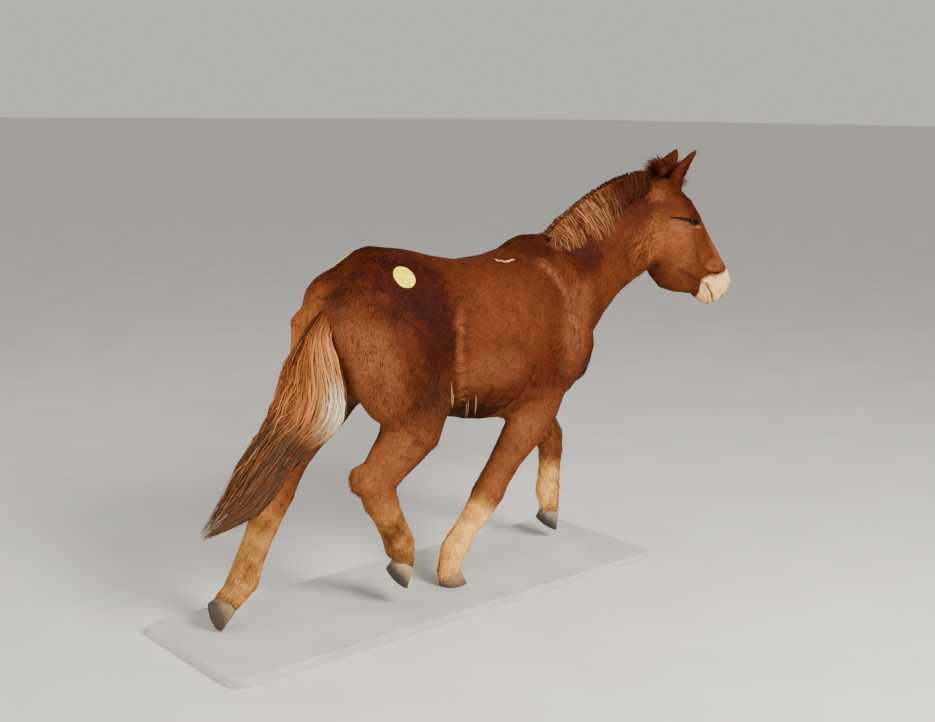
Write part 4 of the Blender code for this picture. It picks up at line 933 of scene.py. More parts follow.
class Finish:
    """A material that is being made; every node comes from its one method."""

    def __init__(self, name, roughness, **constants):
        self.material = bpy.data.materials.new(name)
        self.material.use_nodes = True
        self.tree = self.material.node_tree
        self.shader = self.tree.nodes["Principled BSDF"]
        self.shader.inputs["Roughness"].default_value = roughness
        for key, value in constants.items():
            self.shader.inputs[key.replace("_", " ")].default_value = value
        self.place = self.node("ShaderNodeTexCoord", {}, {}, "Object")

    def node(self, kind, settings, sockets, output=0):
        made = self.tree.nodes.new(kind)
        for key, value in settings.items():
            if key == "stops":
                for element, (position, colour) in zip(self.ramp_stops(made, len(value)), value):
                    element.position = position
                    element.color = (*colour, 1.0)
            else:
                setattr(made, key, value)
        for key, value in sockets.items():
            if isinstance(value, Wire):
                self.tree.links.new(value.socket, made.inputs[key])
            else:
                made.inputs[key].default_value = value
        return Wire(self, made.outputs[output])

    def ramp_stops(self, ramp, count):
        elements = ramp.color_ramp.elements
        while len(elements) < count:
            elements.new(0.5)
        return elements

    def noise(self, scale, detail=3.0, place=None, roughness=0.5):
        sockets = {"Vector": place or self.place, "Scale": scale, "Detail": detail, "Roughness": roughness}
        return self.node("ShaderNodeTexNoise", {}, sockets)

    def ramp(self, share, *stops):
        return self.node("ShaderNodeValToRGB", {"stops": stops}, {0: share})

    def between(self, value, low, high):
        settings = {"interpolation_type": "SMOOTHSTEP"}
        return self.node("ShaderNodeMapRange", settings, {0: value, 1: low, 2: high})

    def mix(self, first, second, share, blend="MIX"):
        settings = {"data_type": "RGBA", "blend_type": blend}
        sockets = {0: share, 6: as_colour(first), 7: as_colour(second)}
        return self.node("ShaderNodeMix", settings, sockets, 2)

    def stretched(self, scale):
        return self.node("ShaderNodeVectorMath", {"operation": "MULTIPLY"}, {0: self.place, 1: scale})

    def attribute(self, name):
        return self.node("ShaderNodeAttribute", {"attribute_name": name}, {}, "Color")

    def colour(self, wire):
        self.tree.links.new(wire.socket, self.shader.inputs["Base Color"])

    def rough(self, wire):
        self.tree.links.new(wire.socket, self.shader.inputs["Roughness"])

    def bump(self, height, depth, strength=1.0):
        sockets = {"Height": height, "Distance": depth, "Strength": strength}
        normal = self.node("ShaderNodeBump", {}, sockets, "Normal")
        self.tree.links.new(normal.socket, self.shader.inputs["Normal"])


def as_colour(value):
    return value if isinstance(value, Wire) else (*value, 1.0)


def coat_finish(name, streak_scale, strength, relief):
    """Hair: the markings, streaked finely along the body."""
    finish = Finish(name, COAT_ROUGHNESS, Specular_IOR_Level=COAT_GLOSS)
    streaks = finish.noise(streak_scale, 3.0, roughness=0.55)
    patches = finish.noise(9.0, 3.0)
    tone = finish.ramp(streaks, (0.30, (0.74, 0.73, 0.72)), (0.70, (1.22, 1.23, 1.24)))
    wide = finish.ramp(patches, (0.30, (0.88, 0.86, 0.84)), (0.70, (1.10, 1.11, 1.12)))
    marks = finish.attribute("marking")
    colour = finish.mix(marks, tone, strength, "MULTIPLY")
    finish.colour(finish.mix(colour, wide, 0.8, "MULTIPLY"))
    finish.rough(finish.between(streaks, 0.2, 0.8) * 0.15 + 0.60)
    finish.bump(streaks, relief)
    return finish.material


def random_tones(count, spread, chance):
    """One brightness for each tuft, with a few pale and dark ones."""
    tone = 1 + chance.normal(0, spread, count)
    pale = chance.random(count) < 0.03
    dark = chance.random(count) < 0.04
    tone = np.where(pale, tone * 1.20, tone)
    return np.clip(np.where(dark, tone * 0.80, tone), 0.5, 1.7)


def blade_faces(rings):
    """The triangles of a blade with a root, rings of three and a tip, and which of them face down."""
    tip = rings * 3 + 1
    last = tip - 3
    faces, below = [], []
    for k in range(3):
        a, b = k, (k + 1) % 3
        own = [(0, 1 + b, 1 + a), (last + a, last + b, tip)]
        for low in range(1, last, 3):
            own += [(low + a, low + b, low + b + 3), (low + a, low + b + 3, low + a + 3)]
        faces += own
        below += [k == 2] * len(own)
    return np.array(faces), np.array(below)


class Tufts:
    """Many thin tapered blades that become one joined mesh."""

    def __init__(self, name, paths, sides, ups, half_widths, heights):
        """paths: tufts x points x 3, from root to tip; sides and ups: tufts x 3 or tufts x points x 3."""
        self.name = name
        self.count, length = paths.shape[:2]
        self.rings = length - 2
        self.each = self.rings * 3 + 2
        self.paths = paths
        self.sides = np.repeat(sides[:, None], length, 1) if sides.ndim == 2 else sides
        self.ups = np.repeat(ups[:, None], length, 1) if ups.ndim == 2 else ups
        self.wide = self.sides[:, 1:-1] * half_widths[..., None]
        self.high = self.ups[:, 1:-1] * heights[..., None]

    def whole(self, ends, middle):
        """One row for each corner of a blade: its root, three for each ring, its tip."""
        middle = middle.reshape(self.count, self.rings * 3, -1)
        return np.concatenate((ends[:, :1], middle, ends[:, -1:]), axis=1)

    def corner_normals(self, lean, pattern, below):
        """Normals that lean a little to the sides above and look down below."""
        up, side = self.ups[:, 1:-1], self.sides[:, 1:-1]
        aside = side * (1 - lean)
        leaning = np.stack((unit(up * lean - aside), up, unit(up * lean + aside)), axis=2)
        above = self.whole(self.ups, leaning)
        under = -self.whole(self.ups, np.repeat(up, 3, axis=1))
        chosen = (pattern + below[:, None] * self.each).ravel()
        return np.concatenate((above, under), axis=1)[:, chosen]

    def rims(self, mesh):
        """Marks the edges between the upper and the lower side, where the normals change."""
        ends = np.zeros(len(mesh.edges) * 2, np.int32)
        mesh.edges.foreach_get("vertices", ends)
        corner = ends.reshape(-1, 2) % self.each
        column = np.where((corner == 0) | (corner == self.each - 1), -1, (corner - 1) % 3)
        same = (column[:, 0] == column[:, 1]) | (column.min(1) < 0)
        sharp = mesh.attributes.new("sharp_edge", "BOOLEAN", "EDGE")
        sharp.data.foreach_set("value", same & (column.max(1) != 1))

    def build(self, colours, places, lean):
        body = self.paths[:, 1:-1]
        rings = np.stack((body - self.wide, body + self.high, body + self.wide), axis=2)
        vertices = self.whole(self.paths, rings)
        pattern, below = blade_faces(self.rings)
        starts = np.arange(self.count)[:, None, None] * self.each
        faces = (starts + pattern[None]).reshape(-1, 3)
        mesh = bpy.data.meshes.new(self.name)
        mesh.vertices.add(vertices.shape[0] * vertices.shape[1])
        mesh.vertices.foreach_set("co", vertices.astype(np.float32).ravel())
        mesh.loops.add(len(faces) * 3)
        mesh.loops.foreach_set("vertex_index", faces.astype(np.int32).ravel())
        mesh.polygons.add(len(faces))
        mesh.polygons.foreach_set("loop_start", np.arange(0, len(faces) * 3, 3, dtype=np.int32))
        mesh.update(calc_edges=True)
        tints = self.whole(colours, np.repeat(colours[:, 1:-1], 3, axis=1)).reshape(-1, 3)
        set_colour(mesh, np.clip(tints, 0.001, 1.0))
        patch = np.zeros((self.each, 2))
        level = np.concatenate(((0,), np.repeat(np.arange(1, self.rings + 1), 3), (self.rings + 1,)))
        patch[:, 1] = (level / (self.rings + 1) - 0.5) * TUFT_PATCH
        patch[1:-1, 0] = np.tile((-0.5, 0.0, 0.5), self.rings) * TUFT_PATCH
        layer = mesh.uv_layers.new(name="OFBake")
        spots = (places[:, None] + patch[None]).reshape(-1, 2)
        layer.data.foreach_set("uv", spots[faces.ravel()].astype(np.float32).ravel())
        self.rims(mesh)
        custom = mesh.attributes.new("custom_normal", "FLOAT_VECTOR", "CORNER")
        normals = self.corner_normals(lean, pattern, below)
        custom.data.foreach_set("vector", normals.astype(np.float32).ravel())
        obj = bpy.data.objects.new(self.name, mesh)
        bpy.context.scene.collection.objects.link(obj)
        return obj


class Unwrap:
    """A flat map of the skin's own shape, on a coarse copy of it."""

    def __init__(self, skin):
        copy = skin.copy()
        copy.data = skin.data.copy()
        bpy.context.scene.collection.objects.link(copy)
        applied(copy, "DECIMATE", ratio=min(1.0, UNWRAP_TRIANGLES / len(copy.data.polygons)))
        pick(copy)
        bpy.ops.object.mode_set(mode="EDIT")
        bpy.ops.mesh.select_all(action="SELECT")
        bpy.ops.uv.smart_project(angle_limit=math.radians(70), island_margin=0.004)
        bpy.ops.object.mode_set(mode="OBJECT")
        mesh = copy.data
        self.points = points_of(mesh)
        self.tree = surface_of(copy)
        count = len(mesh.polygons)
        loops = np.zeros(count * 3, np.int32)
        mesh.polygons.foreach_get("vertices", loops)
        self.faces = loops.reshape(-1, 3)
        uvs = np.zeros(count * 6, np.float32)
        mesh.uv_layers.active.data.foreach_get("uv", uvs)
        self.uvs = uvs.reshape(-1, 3, 2)
        bpy.data.objects.remove(copy)

    def places(self, points):
        found = [self.tree.find_nearest(Vector(p)) for p in points]
        index = np.array([hit[2] for hit in found])
        near = np.array([hit[0][:] for hit in found])
        a, b, c = (self.points[self.faces[index, k]] for k in range(3))
        v0, v1, v2 = b - a, c - a, near - a
        d00, d01, d11 = (v0 * v0).sum(1), (v0 * v1).sum(1), (v1 * v1).sum(1)
        d20, d21 = (v2 * v0).sum(1), (v2 * v1).sum(1)
        scale = np.maximum(d00 * d11 - d01 * d01, 1e-18)
        v = np.clip((d11 * d20 - d01 * d21) / scale, 0, 1)
        w = np.clip((d00 * d21 - d01 * d20) / scale, 0, 1)
        uv = self.uvs[index]
        return uv[:, 0] * (1 - v - w)[:, None] + uv[:, 1] * v[:, None] + uv[:, 2] * w[:, None]


def hair_way(lie):
    """The direction in which the coat lies: from the head to the tail and down the legs."""
    x, y, z = lie.x, lie.y, lie.z
    along, out = lie.face.T[:2]
    side = np.sign(y) * smooth(np.abs(y), 0.0, 0.10)
    way = np.stack((-np.ones_like(x), side * 0.12, -0.20 - 0.30 * smooth(np.abs(y), 0.05, 0.2)), 1)
    rump = smooth(x, -0.18, -0.42)
    way += rump[:, None] * np.array((0.45, 0, -1.0))
    shoulder = bump(x, 0.45, 0.20) * smooth(z, 1.15, 0.95)
    way += shoulder[:, None] * np.array((0.35, 0, -0.9))
    belly = smooth(z, 0.80, 0.66) * (1 - lie.leg)
    way += belly[:, None] * np.array((-0.2, 0, 0.25))
    neck_way = np.stack((np.full_like(x, -0.42), np.zeros_like(x), np.full_like(x, -0.90)), 1)
    way += (neck_way - way) * lie.neck[:, None]
    upper_leg = smooth(z, 0.90, 0.66) * (lie.leg_name != "") * smooth(np.abs(y), 0.03, 0.09)
    way += (lie.leg_way - way) * upper_leg[:, None]
    away = np.array(ALONG) * 0.9
    back = -np.array(ALONG) * 0.35 - np.array(BROWWARD) * 1.0
    whorl = smooth(along, 0.10, 0.18)
    front = smooth(out, 0.02, 0.07)
    head_way = (back[None] * (1 - front)[:, None] + away[None] * (front * whorl)[:, None]
                - away[None] * (front * (1 - whorl))[:, None])
    muzzle = smooth(along, 0.40, 0.46)
    muzzle_way = away * 0.6 - np.array(BROWWARD) * 0.6
    head_way = head_way * (1 - muzzle)[:, None] + muzzle_way[None] * muzzle[:, None]
    way += (head_way - way) * lie.head[:, None]
    ear_way = np.array(BROWWARD) * 0.9 - np.array(ALONG) * 0.6
    way += (ear_way[None] - way) * lie.ear[:, None]
    way -= lie.normals * (way * lie.normals).sum(1, keepdims=True)
    way = unit(way)
    across = np.cross(lie.normals, way)
    turn = 0.26 * waves(lie.points, 0.14, 31) + 0.10 * waves(lie.points, 0.045, 32)
    turn *= 1 - 0.5 * lie.head
    return unit(way * np.cos(turn)[:, None] + across * np.sin(turn)[:, None])


def hair_length(lie):
    along = lie.face[:, 0]
    length = TUFT_LENGTH["trunk"] + 0.003 * waves(lie.points, 0.10, 41)
    length += WOOL_LONGER * woolly(lie) + NECK_LONGER * lie.neck
    length += (TUFT_LENGTH["cannon"] - length) * lie.cannon
    behind = smooth(lie.normals[:, 0], -0.1, -0.7)
    length += (TUFT_LENGTH["foot"] + BEHIND_FOOT_LONGER * behind - length) * lie.foot
    length += (TUFT_LENGTH["head"] - length) * lie.head
    length += (TUFT_LENGTH["muzzle"] - length) * lie.head * smooth(along, 0.42, 0.47)
    length += (TUFT_LENGTH["ear"] - length) * lie.ear
    return length + CHEEK_LONGER * cheek_hair(lie)


def cheek_hair(lie):
    """The long hair behind the cheek, under the throat and at the ear's root."""
    along, out, left = lie.face.T
    side = smooth(np.abs(left), 0.02, 0.05)
    cheek = oval_share(along, out, (0.15, -0.125, 0.11, 0.055, -32), 0) * side
    throat = oval_share(along, out, (0.17, -0.21, 0.12, 0.05, -20), 0)
    swirl = 0.5 * oval_share(along, out, (0.015, -0.030, 0.045, 0.040, 0), 0) * side
    return np.maximum.reduce((cheek, throat * 0.8, swirl))


def hair_spacing(lie):
    spacing = np.full(len(lie.x), TUFT_SPACING["trunk"])
    spacing += (TUFT_SPACING["leg"] - spacing) * np.maximum(lie.leg, 0)
    spacing += (TUFT_SPACING["head"] - spacing) * lie.head
    spacing += (TUFT_SPACING["muzzle"] - spacing) * lie.head * smooth(lie.face[:, 0], 0.40, 0.45)
    return spacing * 1.0


def coat_regions(lie):
    """A name for the coat piece that each tuft belongs to."""
    names = np.full(len(lie.x), "barrel", dtype=object)
    names[lie.x < -0.16] = "rump"
    names[lie.x > 0.28] = "shoulder"
    names[lie.neck > 0.5] = "neck"
    side = np.where(lie.y > 0, "left", "right")
    names = np.array([f"{name}_{end}" for name, end in zip(names, side)], dtype=object)
    names[lie.head > 0.5] = np.where(lie.face[lie.head > 0.5, 2] > 0, "head_left", "head_right")
    low = lie.leg > 0.5
    names[low] = lie.leg_name[low]
    return names


def scatter(skin, chance):
    """Roots spread evenly over the skin: their places and normals."""
    mesh = skin.data
    mesh.calc_loop_triangles()
    triangles = np.zeros(len(mesh.loop_triangles) * 3, np.int32)
    mesh.loop_triangles.foreach_get("vertices", triangles)
    triangles = triangles.reshape(-1, 3)
    points = points_of(mesh)
    normals = normals_of(mesh)
    a, b, c = (points[triangles[:, k]] for k in range(3))
    area = np.linalg.norm(np.cross(b - a, c - a), axis=1) / 2
    spacing = hair_spacing(Lie((a + b + c) / 3 - np.array(SHIFT), unit(normals[triangles].mean(1))))
    wanted = np.cumsum(area / spacing ** 2) * ROOT_TRIES
    index = np.searchsorted(wanted, chance.random(int(wanted[-1])) * wanted[-1])
    r1, r2 = np.sqrt(chance.random(len(index))), chance.random(len(index))
    shares = np.stack((1 - r1, r1 * (1 - r2), r1 * r2), 1)
    roots = (points[triangles[index]] * shares[..., None]).sum(1)
    kept = spread_out(roots, spacing[index] * ROOT_GAP)
    return roots[kept], unit((normals[triangles[index]] * shares[..., None]).sum(1))[kept]


def spread_out(points, gaps):
    """The places that stay when none may be nearer to another than its gap."""
    tree = KDTree(len(points))
    for i, point in enumerate(points):
        tree.insert(point, i)
    tree.balance()
    free = [True] * len(points)
    kept = []
    for i, point in enumerate(points):
        if free[i]:
            kept.append(i)
            for _, near, _ in tree.find_range(point, gaps[i]):
                free[near] = False
    return np.array(kept)


def make_coat(skin, unwrap, eyes, material):
    chance = np.random.default_rng(SEED)
    roots, normals = scatter(skin, chance)
    lie = Lie(roots - np.array(SHIFT), normals)
    way = hair_way(lie)
    side = np.cross(way, normals)
    length = hair_length(lie) * chance.uniform(0.75, 1.2, len(roots))
    wool = woolly(lie)
    long_hair = cheek_hair(lie)
    colour = face_marks(lie, marking(lie), eyes)
    streak = long_hair * (chance.random(len(roots)) < 0.5)
    colour = mixed(colour, CHEEK_HAIR, streak * 0.65)
    colour *= random_tones(len(roots), TONE_SPREAD, chance)[:, None]
    bare = bare_places(lie, eyes)
    places = unwrap.places(roots)
    tagged = near_tags(lie)
    width = hair_spacing(lie) * TUFT_HALF_WIDTH * chance.uniform(0.8, 1.3, len(roots))
    width *= 1 - 0.30 * long_hair
    sway = chance.normal(0, 0.10, len(roots))[:, None] * side
    curl = ((0.04 + 0.10 * wool) * waves(lie.points, 0.045, 51))[:, None] * side
    clump = 1 + (0.04 + 0.22 * wool) * waves(lie.points, 0.032, 52)
    lift = coat_depth(lie) * chance.uniform(0.80, 1.02, len(roots)) * clump + 0.003 * long_hair
    lift *= 1 - 0.45 * tagged
    first = roots - normals * TUFT_ROOT_DEPTH
    swing = curl * length[:, None]
    middle = roots + way * (length * 0.35)[:, None] + normals * (lift * 0.86)[:, None] + swing
    droop = 0.62 + 0.20 * wool + 0.35 * lie.cannon + chance.uniform(-0.08, 0.08, len(roots))
    tip = roots + (way + sway) * length[:, None] + normals * (lift * droop)[:, None] - swing
    paths = np.stack((first, middle, tip), 1)
    colours = np.stack((colour * 0.85, colour, colour * 1.10), 1)
    names = coat_regions(lie)
    made = []
    for name in sorted(set(names)):
        chosen = np.nonzero((names == name) & ~bare)[0]
        half = width[chosen, None]
        tufts = Tufts("coat_" + name, paths[chosen], side[chosen], normals[chosen], half, half * TUFT_HEIGHT)
        made.append(tufts.build(colours[chosen], places[chosen], TUFT_LEAN))
    for piece in made:
        give(piece, material)
        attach(piece, "root")


def bare_places(lie, eyes):
    """Where no hair grows: on the eyes, in the crease behind them and in the nostrils."""
    along, out, left = lie.face.T
    bare = (nostril_gap(along, out) < 0.8) & (np.abs(left) > 0.022) & (lie.head > 0.5)
    for eye in eyes:
        plan = EyePlan(lie.points + np.array(SHIFT), eye)
        bare |= (plan.near > 0) & ((plan.almond < 1.45) | (plan.crease > 0.55))
    return bare


def near_tags(lie):
    """1 under the round tags, 0 farther than a tuft's length away."""
    share = np.zeros(len(lie.x))
    for side in ("left", "right"):
        low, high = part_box("hip_tag_" + side)
        gap = np.linalg.norm(lie.points - np.array((low + high) / 2 - SHIFT), axis=1)
        share = np.maximum(share, smooth(gap, 0.072, 0.048))
    return share


def locks(name, paths, sides, ups, half_width, taper, thick, colours, places):
    """Joined long locks, each along its own path."""
    widths = np.array(half_width)[:, None] * np.array(taper)[None]
    return Tufts(name, paths, sides, ups, widths, widths * thick).build(colours, places, LOCK_LEAN)


def crest_at(x):
    """Crest, direction to the head, upwards and rightwards at a place along the neck."""
    rows = np.array(NECK)

    def read(k, place):
        return float(np.interp(place, rows[:, 0], rows[:, k]))

    crest = Vector((x, read(4, x), read(1, x)))
    along = Vector((0.10, read(4, x + 0.05) - read(4, x - 0.05), read(1, x + 0.05) - read(1, x - 0.05)))
    along.normalize()
    up = crest - Vector((read(2, x), read(4, x), read(3, x)))
    up = (up - along * up.dot(along)).normalized()
    return crest, along, up, along.cross(up).normalized()


def table(rows, place):
    return float(np.interp(place, [row[0] for row in rows], [row[1] for row in rows]))


def make_mane(skin_tree, unwrap, material):
    chance = random.Random(SEED)
    bunches = mane_bunches(chance)
    mane = LockSet()
    count = MANE_LOCKS // 1
    for i in range(count):
        x = MANE_START + (MANE_END - MANE_START) * (i + chance.random()) / count
        crest, along, up, right = crest_at(x)
        to_left = chance.random() < MANE_LEFT_SHARE
        aside = -right if to_left else right
        wander = chance.gauss(0, 0.014)
        middle, sweep, longer, fluffy, tone = min(bunches, key=lambda row: abs(row[0] - x + wander))
        hang = table(MANE_HANG, x) * chance.uniform(0.30, 1.15) * longer * (0.6 if to_left else 1.0)
        rise = table(MANE_RISE, x) * chance.uniform(0.30, 1.0)
        back = along * ((middle - x) * 0.45 - sweep * chance.uniform(0.4, 1.3))
        spread = chance.uniform(-0.014, 0.014)
        high = 0.006 + fluffy + 0.018 * chance.random() ** 2
        path = [
            crest - up * 0.012 + aside * spread,
            crest + up * rise * 0.70 + aside * (0.003 + spread) + back * 0.15,
            crest + up * rise * 0.92 + aside * 0.020 + back * 0.40,
            resting(skin_tree, crest + aside * 0.040 - up * hang * 0.30 + back * 0.75, high),
            resting(skin_tree, crest + aside * 0.052 - up * hang * 0.62 + back * 1.05, 0.008 + high * 0.6),
            resting(skin_tree, crest + aside * 0.058 - up * hang * 0.88 + back * 1.30, 0.007 + high * 0.3),
            resting(skin_tree, crest + aside * 0.062 - up * hang * 1.12 + back * 1.45, 0.006),
        ]
        swing = chance.uniform(0.001, 0.005)
        turn = middle * 90 + wander * 60
        path = [p + along * (chance.uniform(-0.0012, 0.0012) + swing * math.sin(k * 1.3 + turn))
                for k, p in enumerate(path)]
        half_width = chance.uniform(*MANE_HALF_WIDTHS)
        tints = [tuple(c * tone for c in row) for row in mane_colour(x, chance, len(path))]
        mane.add(path, crest, along, aside, half_width, tints)
    mane.build("mane", unwrap, material)


def make_guard_hairs(skin_tree, unwrap, material):
    """A few long pale hairs that hang from the flank and the belly's edge."""
    chance = random.Random(SEED + 4)
    hairs = LockSet()
    for x, z, length in GUARD_HAIRS:
        for sign in (-1, 1):
            out = Vector((0, sign, 0))
            for _ in range(2):
                place = Vector((x + chance.uniform(-0.005, 0.005), 0, z + chance.uniform(-0.01, 0.01)))
                path = []
                for ring in (0.0, 0.12, 0.28, 0.46, 0.64, 0.82, 1.0):
                    start = place + out * 0.5 - Vector((0.004 * ring * ring, 0, length * ring))
                    found = skin_tree.ray_cast(start + SHIFT, -out)[0]
                    reach = 0 if found is None else (found - SHIFT).dot(out) + (0.010 if ring else 0.0)
                    if path:
                        reach = max(reach, path[-1].dot(out))
                    path.append(Vector((start.x, reach * sign, start.z)))
                tints = [GUARD_COLOUR] * len(path)
                hairs.add(path, path[0], Vector((1, 0, 0)), out, GUARD_HALF_WIDTH, tints)
    hairs.build("guard_hairs", unwrap, material)


def resting(tree, point, lift):
    """The nearest place on the skin, lifted off it."""
    found, normal, _, _ = tree.find_nearest(point + SHIFT)
    return found + normal * lift - SHIFT


def mane_bunches(chance):
    """The mane's bunches: place along the neck, backward sweep, length, lift and tone."""
    step = (MANE_END - MANE_START) / MANE_BUNCHES
    rows = []
    for i in range(MANE_BUNCHES):
        place = MANE_START + step * (i + chance.uniform(0.1, 0.9))
        sweep = chance.uniform(0.002, 0.040)
        longer = chance.uniform(0.72, 1.15)
        fluffy = chance.uniform(0.0, 0.008)
        rows.append((place, sweep, longer, fluffy, chance.uniform(0.82, 1.12)))
    return rows


def rows_along(path, across, outward):
    """Sideways and upward directions at each point of a path, with the upper side facing outwards."""
    last = len(path) - 1
    ends = [path[min(k + 1, last)] - path[max(k - 1, 0)] for k in range(len(path))]
    side_row = [(across - e * (across.dot(e) / max(e.dot(e), 1e-9))).normalized() for e in ends]
    up_row = [s.cross(e).normalized() for s, e in zip(side_row, ends)]
    flip = -1 if up_row[len(path) // 2].dot(outward) < 0 else 1
    return [(s * flip)[:] for s in side_row], [(u * flip)[:] for u in up_row]


def mane_colour(x, chance, points):
    """Maroon at the poll, flaxen brown with blond strands towards the withers."""
    red = float(smooth(x, 0.66, 0.80))
    fair = chance.random()
    pale = BLOND if fair > 0.5 else (ORANGE if fair > 0.2 else CHESTNUT)
    base = np.array(CHESTNUT if fair > 0.5 else MAROON) * (1 - 0.4 * red)
    tip = np.array(pale) * (1 - red) + np.array(RUST if fair < 0.75 else CHESTNUT) * red * 0.7
    tone = chance.uniform(0.50, 1.0)
    return [(base * (1 - s) + tip * s) * tone for s in smooth(np.linspace(0, 1, points), -0.20, 0.50)]


class LockSet:
    """Locks that are gathered one by one and become one joined mesh."""

    def __init__(self):
        self.paths, self.sides, self.ups = [], [], []
        self.widths, self.colours, self.roots = [], [], []

    def add(self, path, root, across, outward, half_width, colours):
        side_row, up_row = rows_along(path, across, outward)
        self.paths.append([(p + SHIFT)[:] for p in path])
        self.roots.append((root + SHIFT)[:])
        self.sides.append(side_row)
        self.ups.append(up_row)
        self.widths.append(half_width)
        self.colours.append(colours)

    def build(self, name, unwrap, material, slot="coat"):
        rows = [np.array(values) for values in (self.paths, self.sides, self.ups)]
        places = unwrap.places(self.roots)
        piece = locks(name, *rows, self.widths, LOCK_TAPER, LOCK_HEIGHT, np.array(self.colours), places)
        give(piece, material)
        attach(piece, "root")


def make_crown(skin_tree, unwrap, material):
    chance = random.Random(SEED + 1)
    up = Vector((0, 0, 1))
    tuft = LockSet()
    count = CROWN_LOCKS // 1
    for i in range(count):
        share = (i + chance.random()) / count
        aside = chance.uniform(-1, 1)
        along = CROWN_ROOTS[0] + (CROWN_ROOTS[1] - CROWN_ROOTS[0]) * share
        spread = 0.034 - 0.016 * float(smooth(share, 0.0, 0.5))
        root = resting(skin_tree, on_head(along, 0.06, aside * spread), -0.003)
        lean = CROWN_LEAN[0] + (CROWN_LEAN[1] - CROWN_LEAN[0]) * share + chance.gauss(0, 0.20)
        length = (CROWN_LENGTH[0] + (CROWN_LENGTH[1] - CROWN_LENGTH[0]) * share) * chance.uniform(0.40, 1.0)
        away = up * math.cos(lean) + FORWARD * math.sin(lean) + HEAD_LEFT * aside * 0.20
        droop = FORWARD * math.copysign(0.008, lean) - up * 0.012 * abs(math.sin(lean))
        turn = chance.uniform(0, 6.3)
        path = []
        for ring in (0.0, 0.17, 0.34, 0.52, 0.70, 0.86, 1.0):
            frizz = HEAD_LEFT * math.sin(ring * 8 + turn) * 0.0050
            frizz += FORWARD * math.cos(ring * 7 + turn) * 0.0038
            path.append(root + away * length * ring + up * 0.012 * math.sin(math.pi * ring)
                        + droop * ring * ring + frizz * ring)
        outward = (up + FORWARD * math.sin(lean) - HEAD_LEFT * 0.5).normalized()
        across = (HEAD_LEFT + FORWARD * chance.uniform(-1.5, 1.5)).normalized()
        half_width = chance.uniform(*CROWN_HALF_WIDTHS)
        tone = chance.uniform(0.70, 1.25)
        tip = np.array(CHESTNUT if chance.random() < 0.85 else ORANGE)
        tints = [(np.array(RUST) * (1 - s) + tip * s) * tone for s in np.linspace(0, 1, len(path))]
        tuft.add(path, root, across, outward, half_width, tints)
    tuft.build("crown_tuft", unwrap, material)


def tail_at(share):
    """Middle, direction, across, outward, half width and half thickness at shares of the length."""
    rows = np.array(TAIL)
    step = np.clip(share, 0, 1) * (len(TAIL) - 1)
    places = np.arange(len(TAIL))

    def read(k, at):
        return np.interp(at, places, rows[:, k])

    middle = np.stack([read(k, step) for k in range(3)], -1)
    ahead = np.stack([read(k, step + 0.5) for k in range(3)], -1)
    behind = np.stack([read(k, step - 0.5) for k in range(3)], -1)
    along = unit(ahead - behind)
    angle = TAIL_TURN_ANGLES[0] + (TAIL_TURN_ANGLES[1] - TAIL_TURN_ANGLES[0]) * smooth(
        middle[..., 2], TAIL_TURN_HEIGHTS[0], TAIL_TURN_HEIGHTS[1])
    across = np.stack((np.sin(angle), -np.cos(angle), np.zeros_like(angle)), -1)
    across = unit(across - along * (across * along).sum(-1, keepdims=True))
    return middle, along, across, unit(np.cross(along, across)), read(3, step), read(4, step)


def tail_colour(share, place, level, noise):
    """Rust above and to the left, blond with a white edge to the right, dark brown towards the tip."""

    def toward(colour, other, amount):
        return colour + (np.array(other) - colour) * np.clip(amount, 0, 1)[..., None]

    place, level, noise = place[:, None], level[:, None], noise[:, None]
    colour = np.ones(share.shape + (3,)) * np.array(CHESTNUT)
    colour = toward(colour, LIGHT_ORANGE, smooth(share, 0.06, 0.22) * (0.4 + 0.6 * (noise > 0.35)))
    colour = toward(colour, MAROON, smooth(-place, -0.1, 0.7) * smooth(share, 0.36, 0.06) * 0.85)
    blond = smooth(place, -0.25, 0.55) * smooth(share, 0.12, 0.24) * smooth(share, 0.62, 0.46)
    colour = toward(colour, TAIL_BLOND, blond * 0.95)
    colour = toward(colour, WHITE_HAIR, smooth(place, 0.35, 0.80) * bump(share, 0.41, 0.13))
    colour = toward(colour, DARK_HAIR, smooth(share, 0.40, 0.60) * (0.45 + 0.55 * (noise > 0.25)) * 0.94)
    under = (level < -0.1) * smooth(share, 0.25, 0.42)
    colour = toward(colour, DARK_HAIR, under * 0.75)
    wisp = (noise > 0.80) * (share > 0.42) * smooth(-place, -0.4, 0.4)
    return toward(colour, TAIL_BLOND, wisp * 0.75)


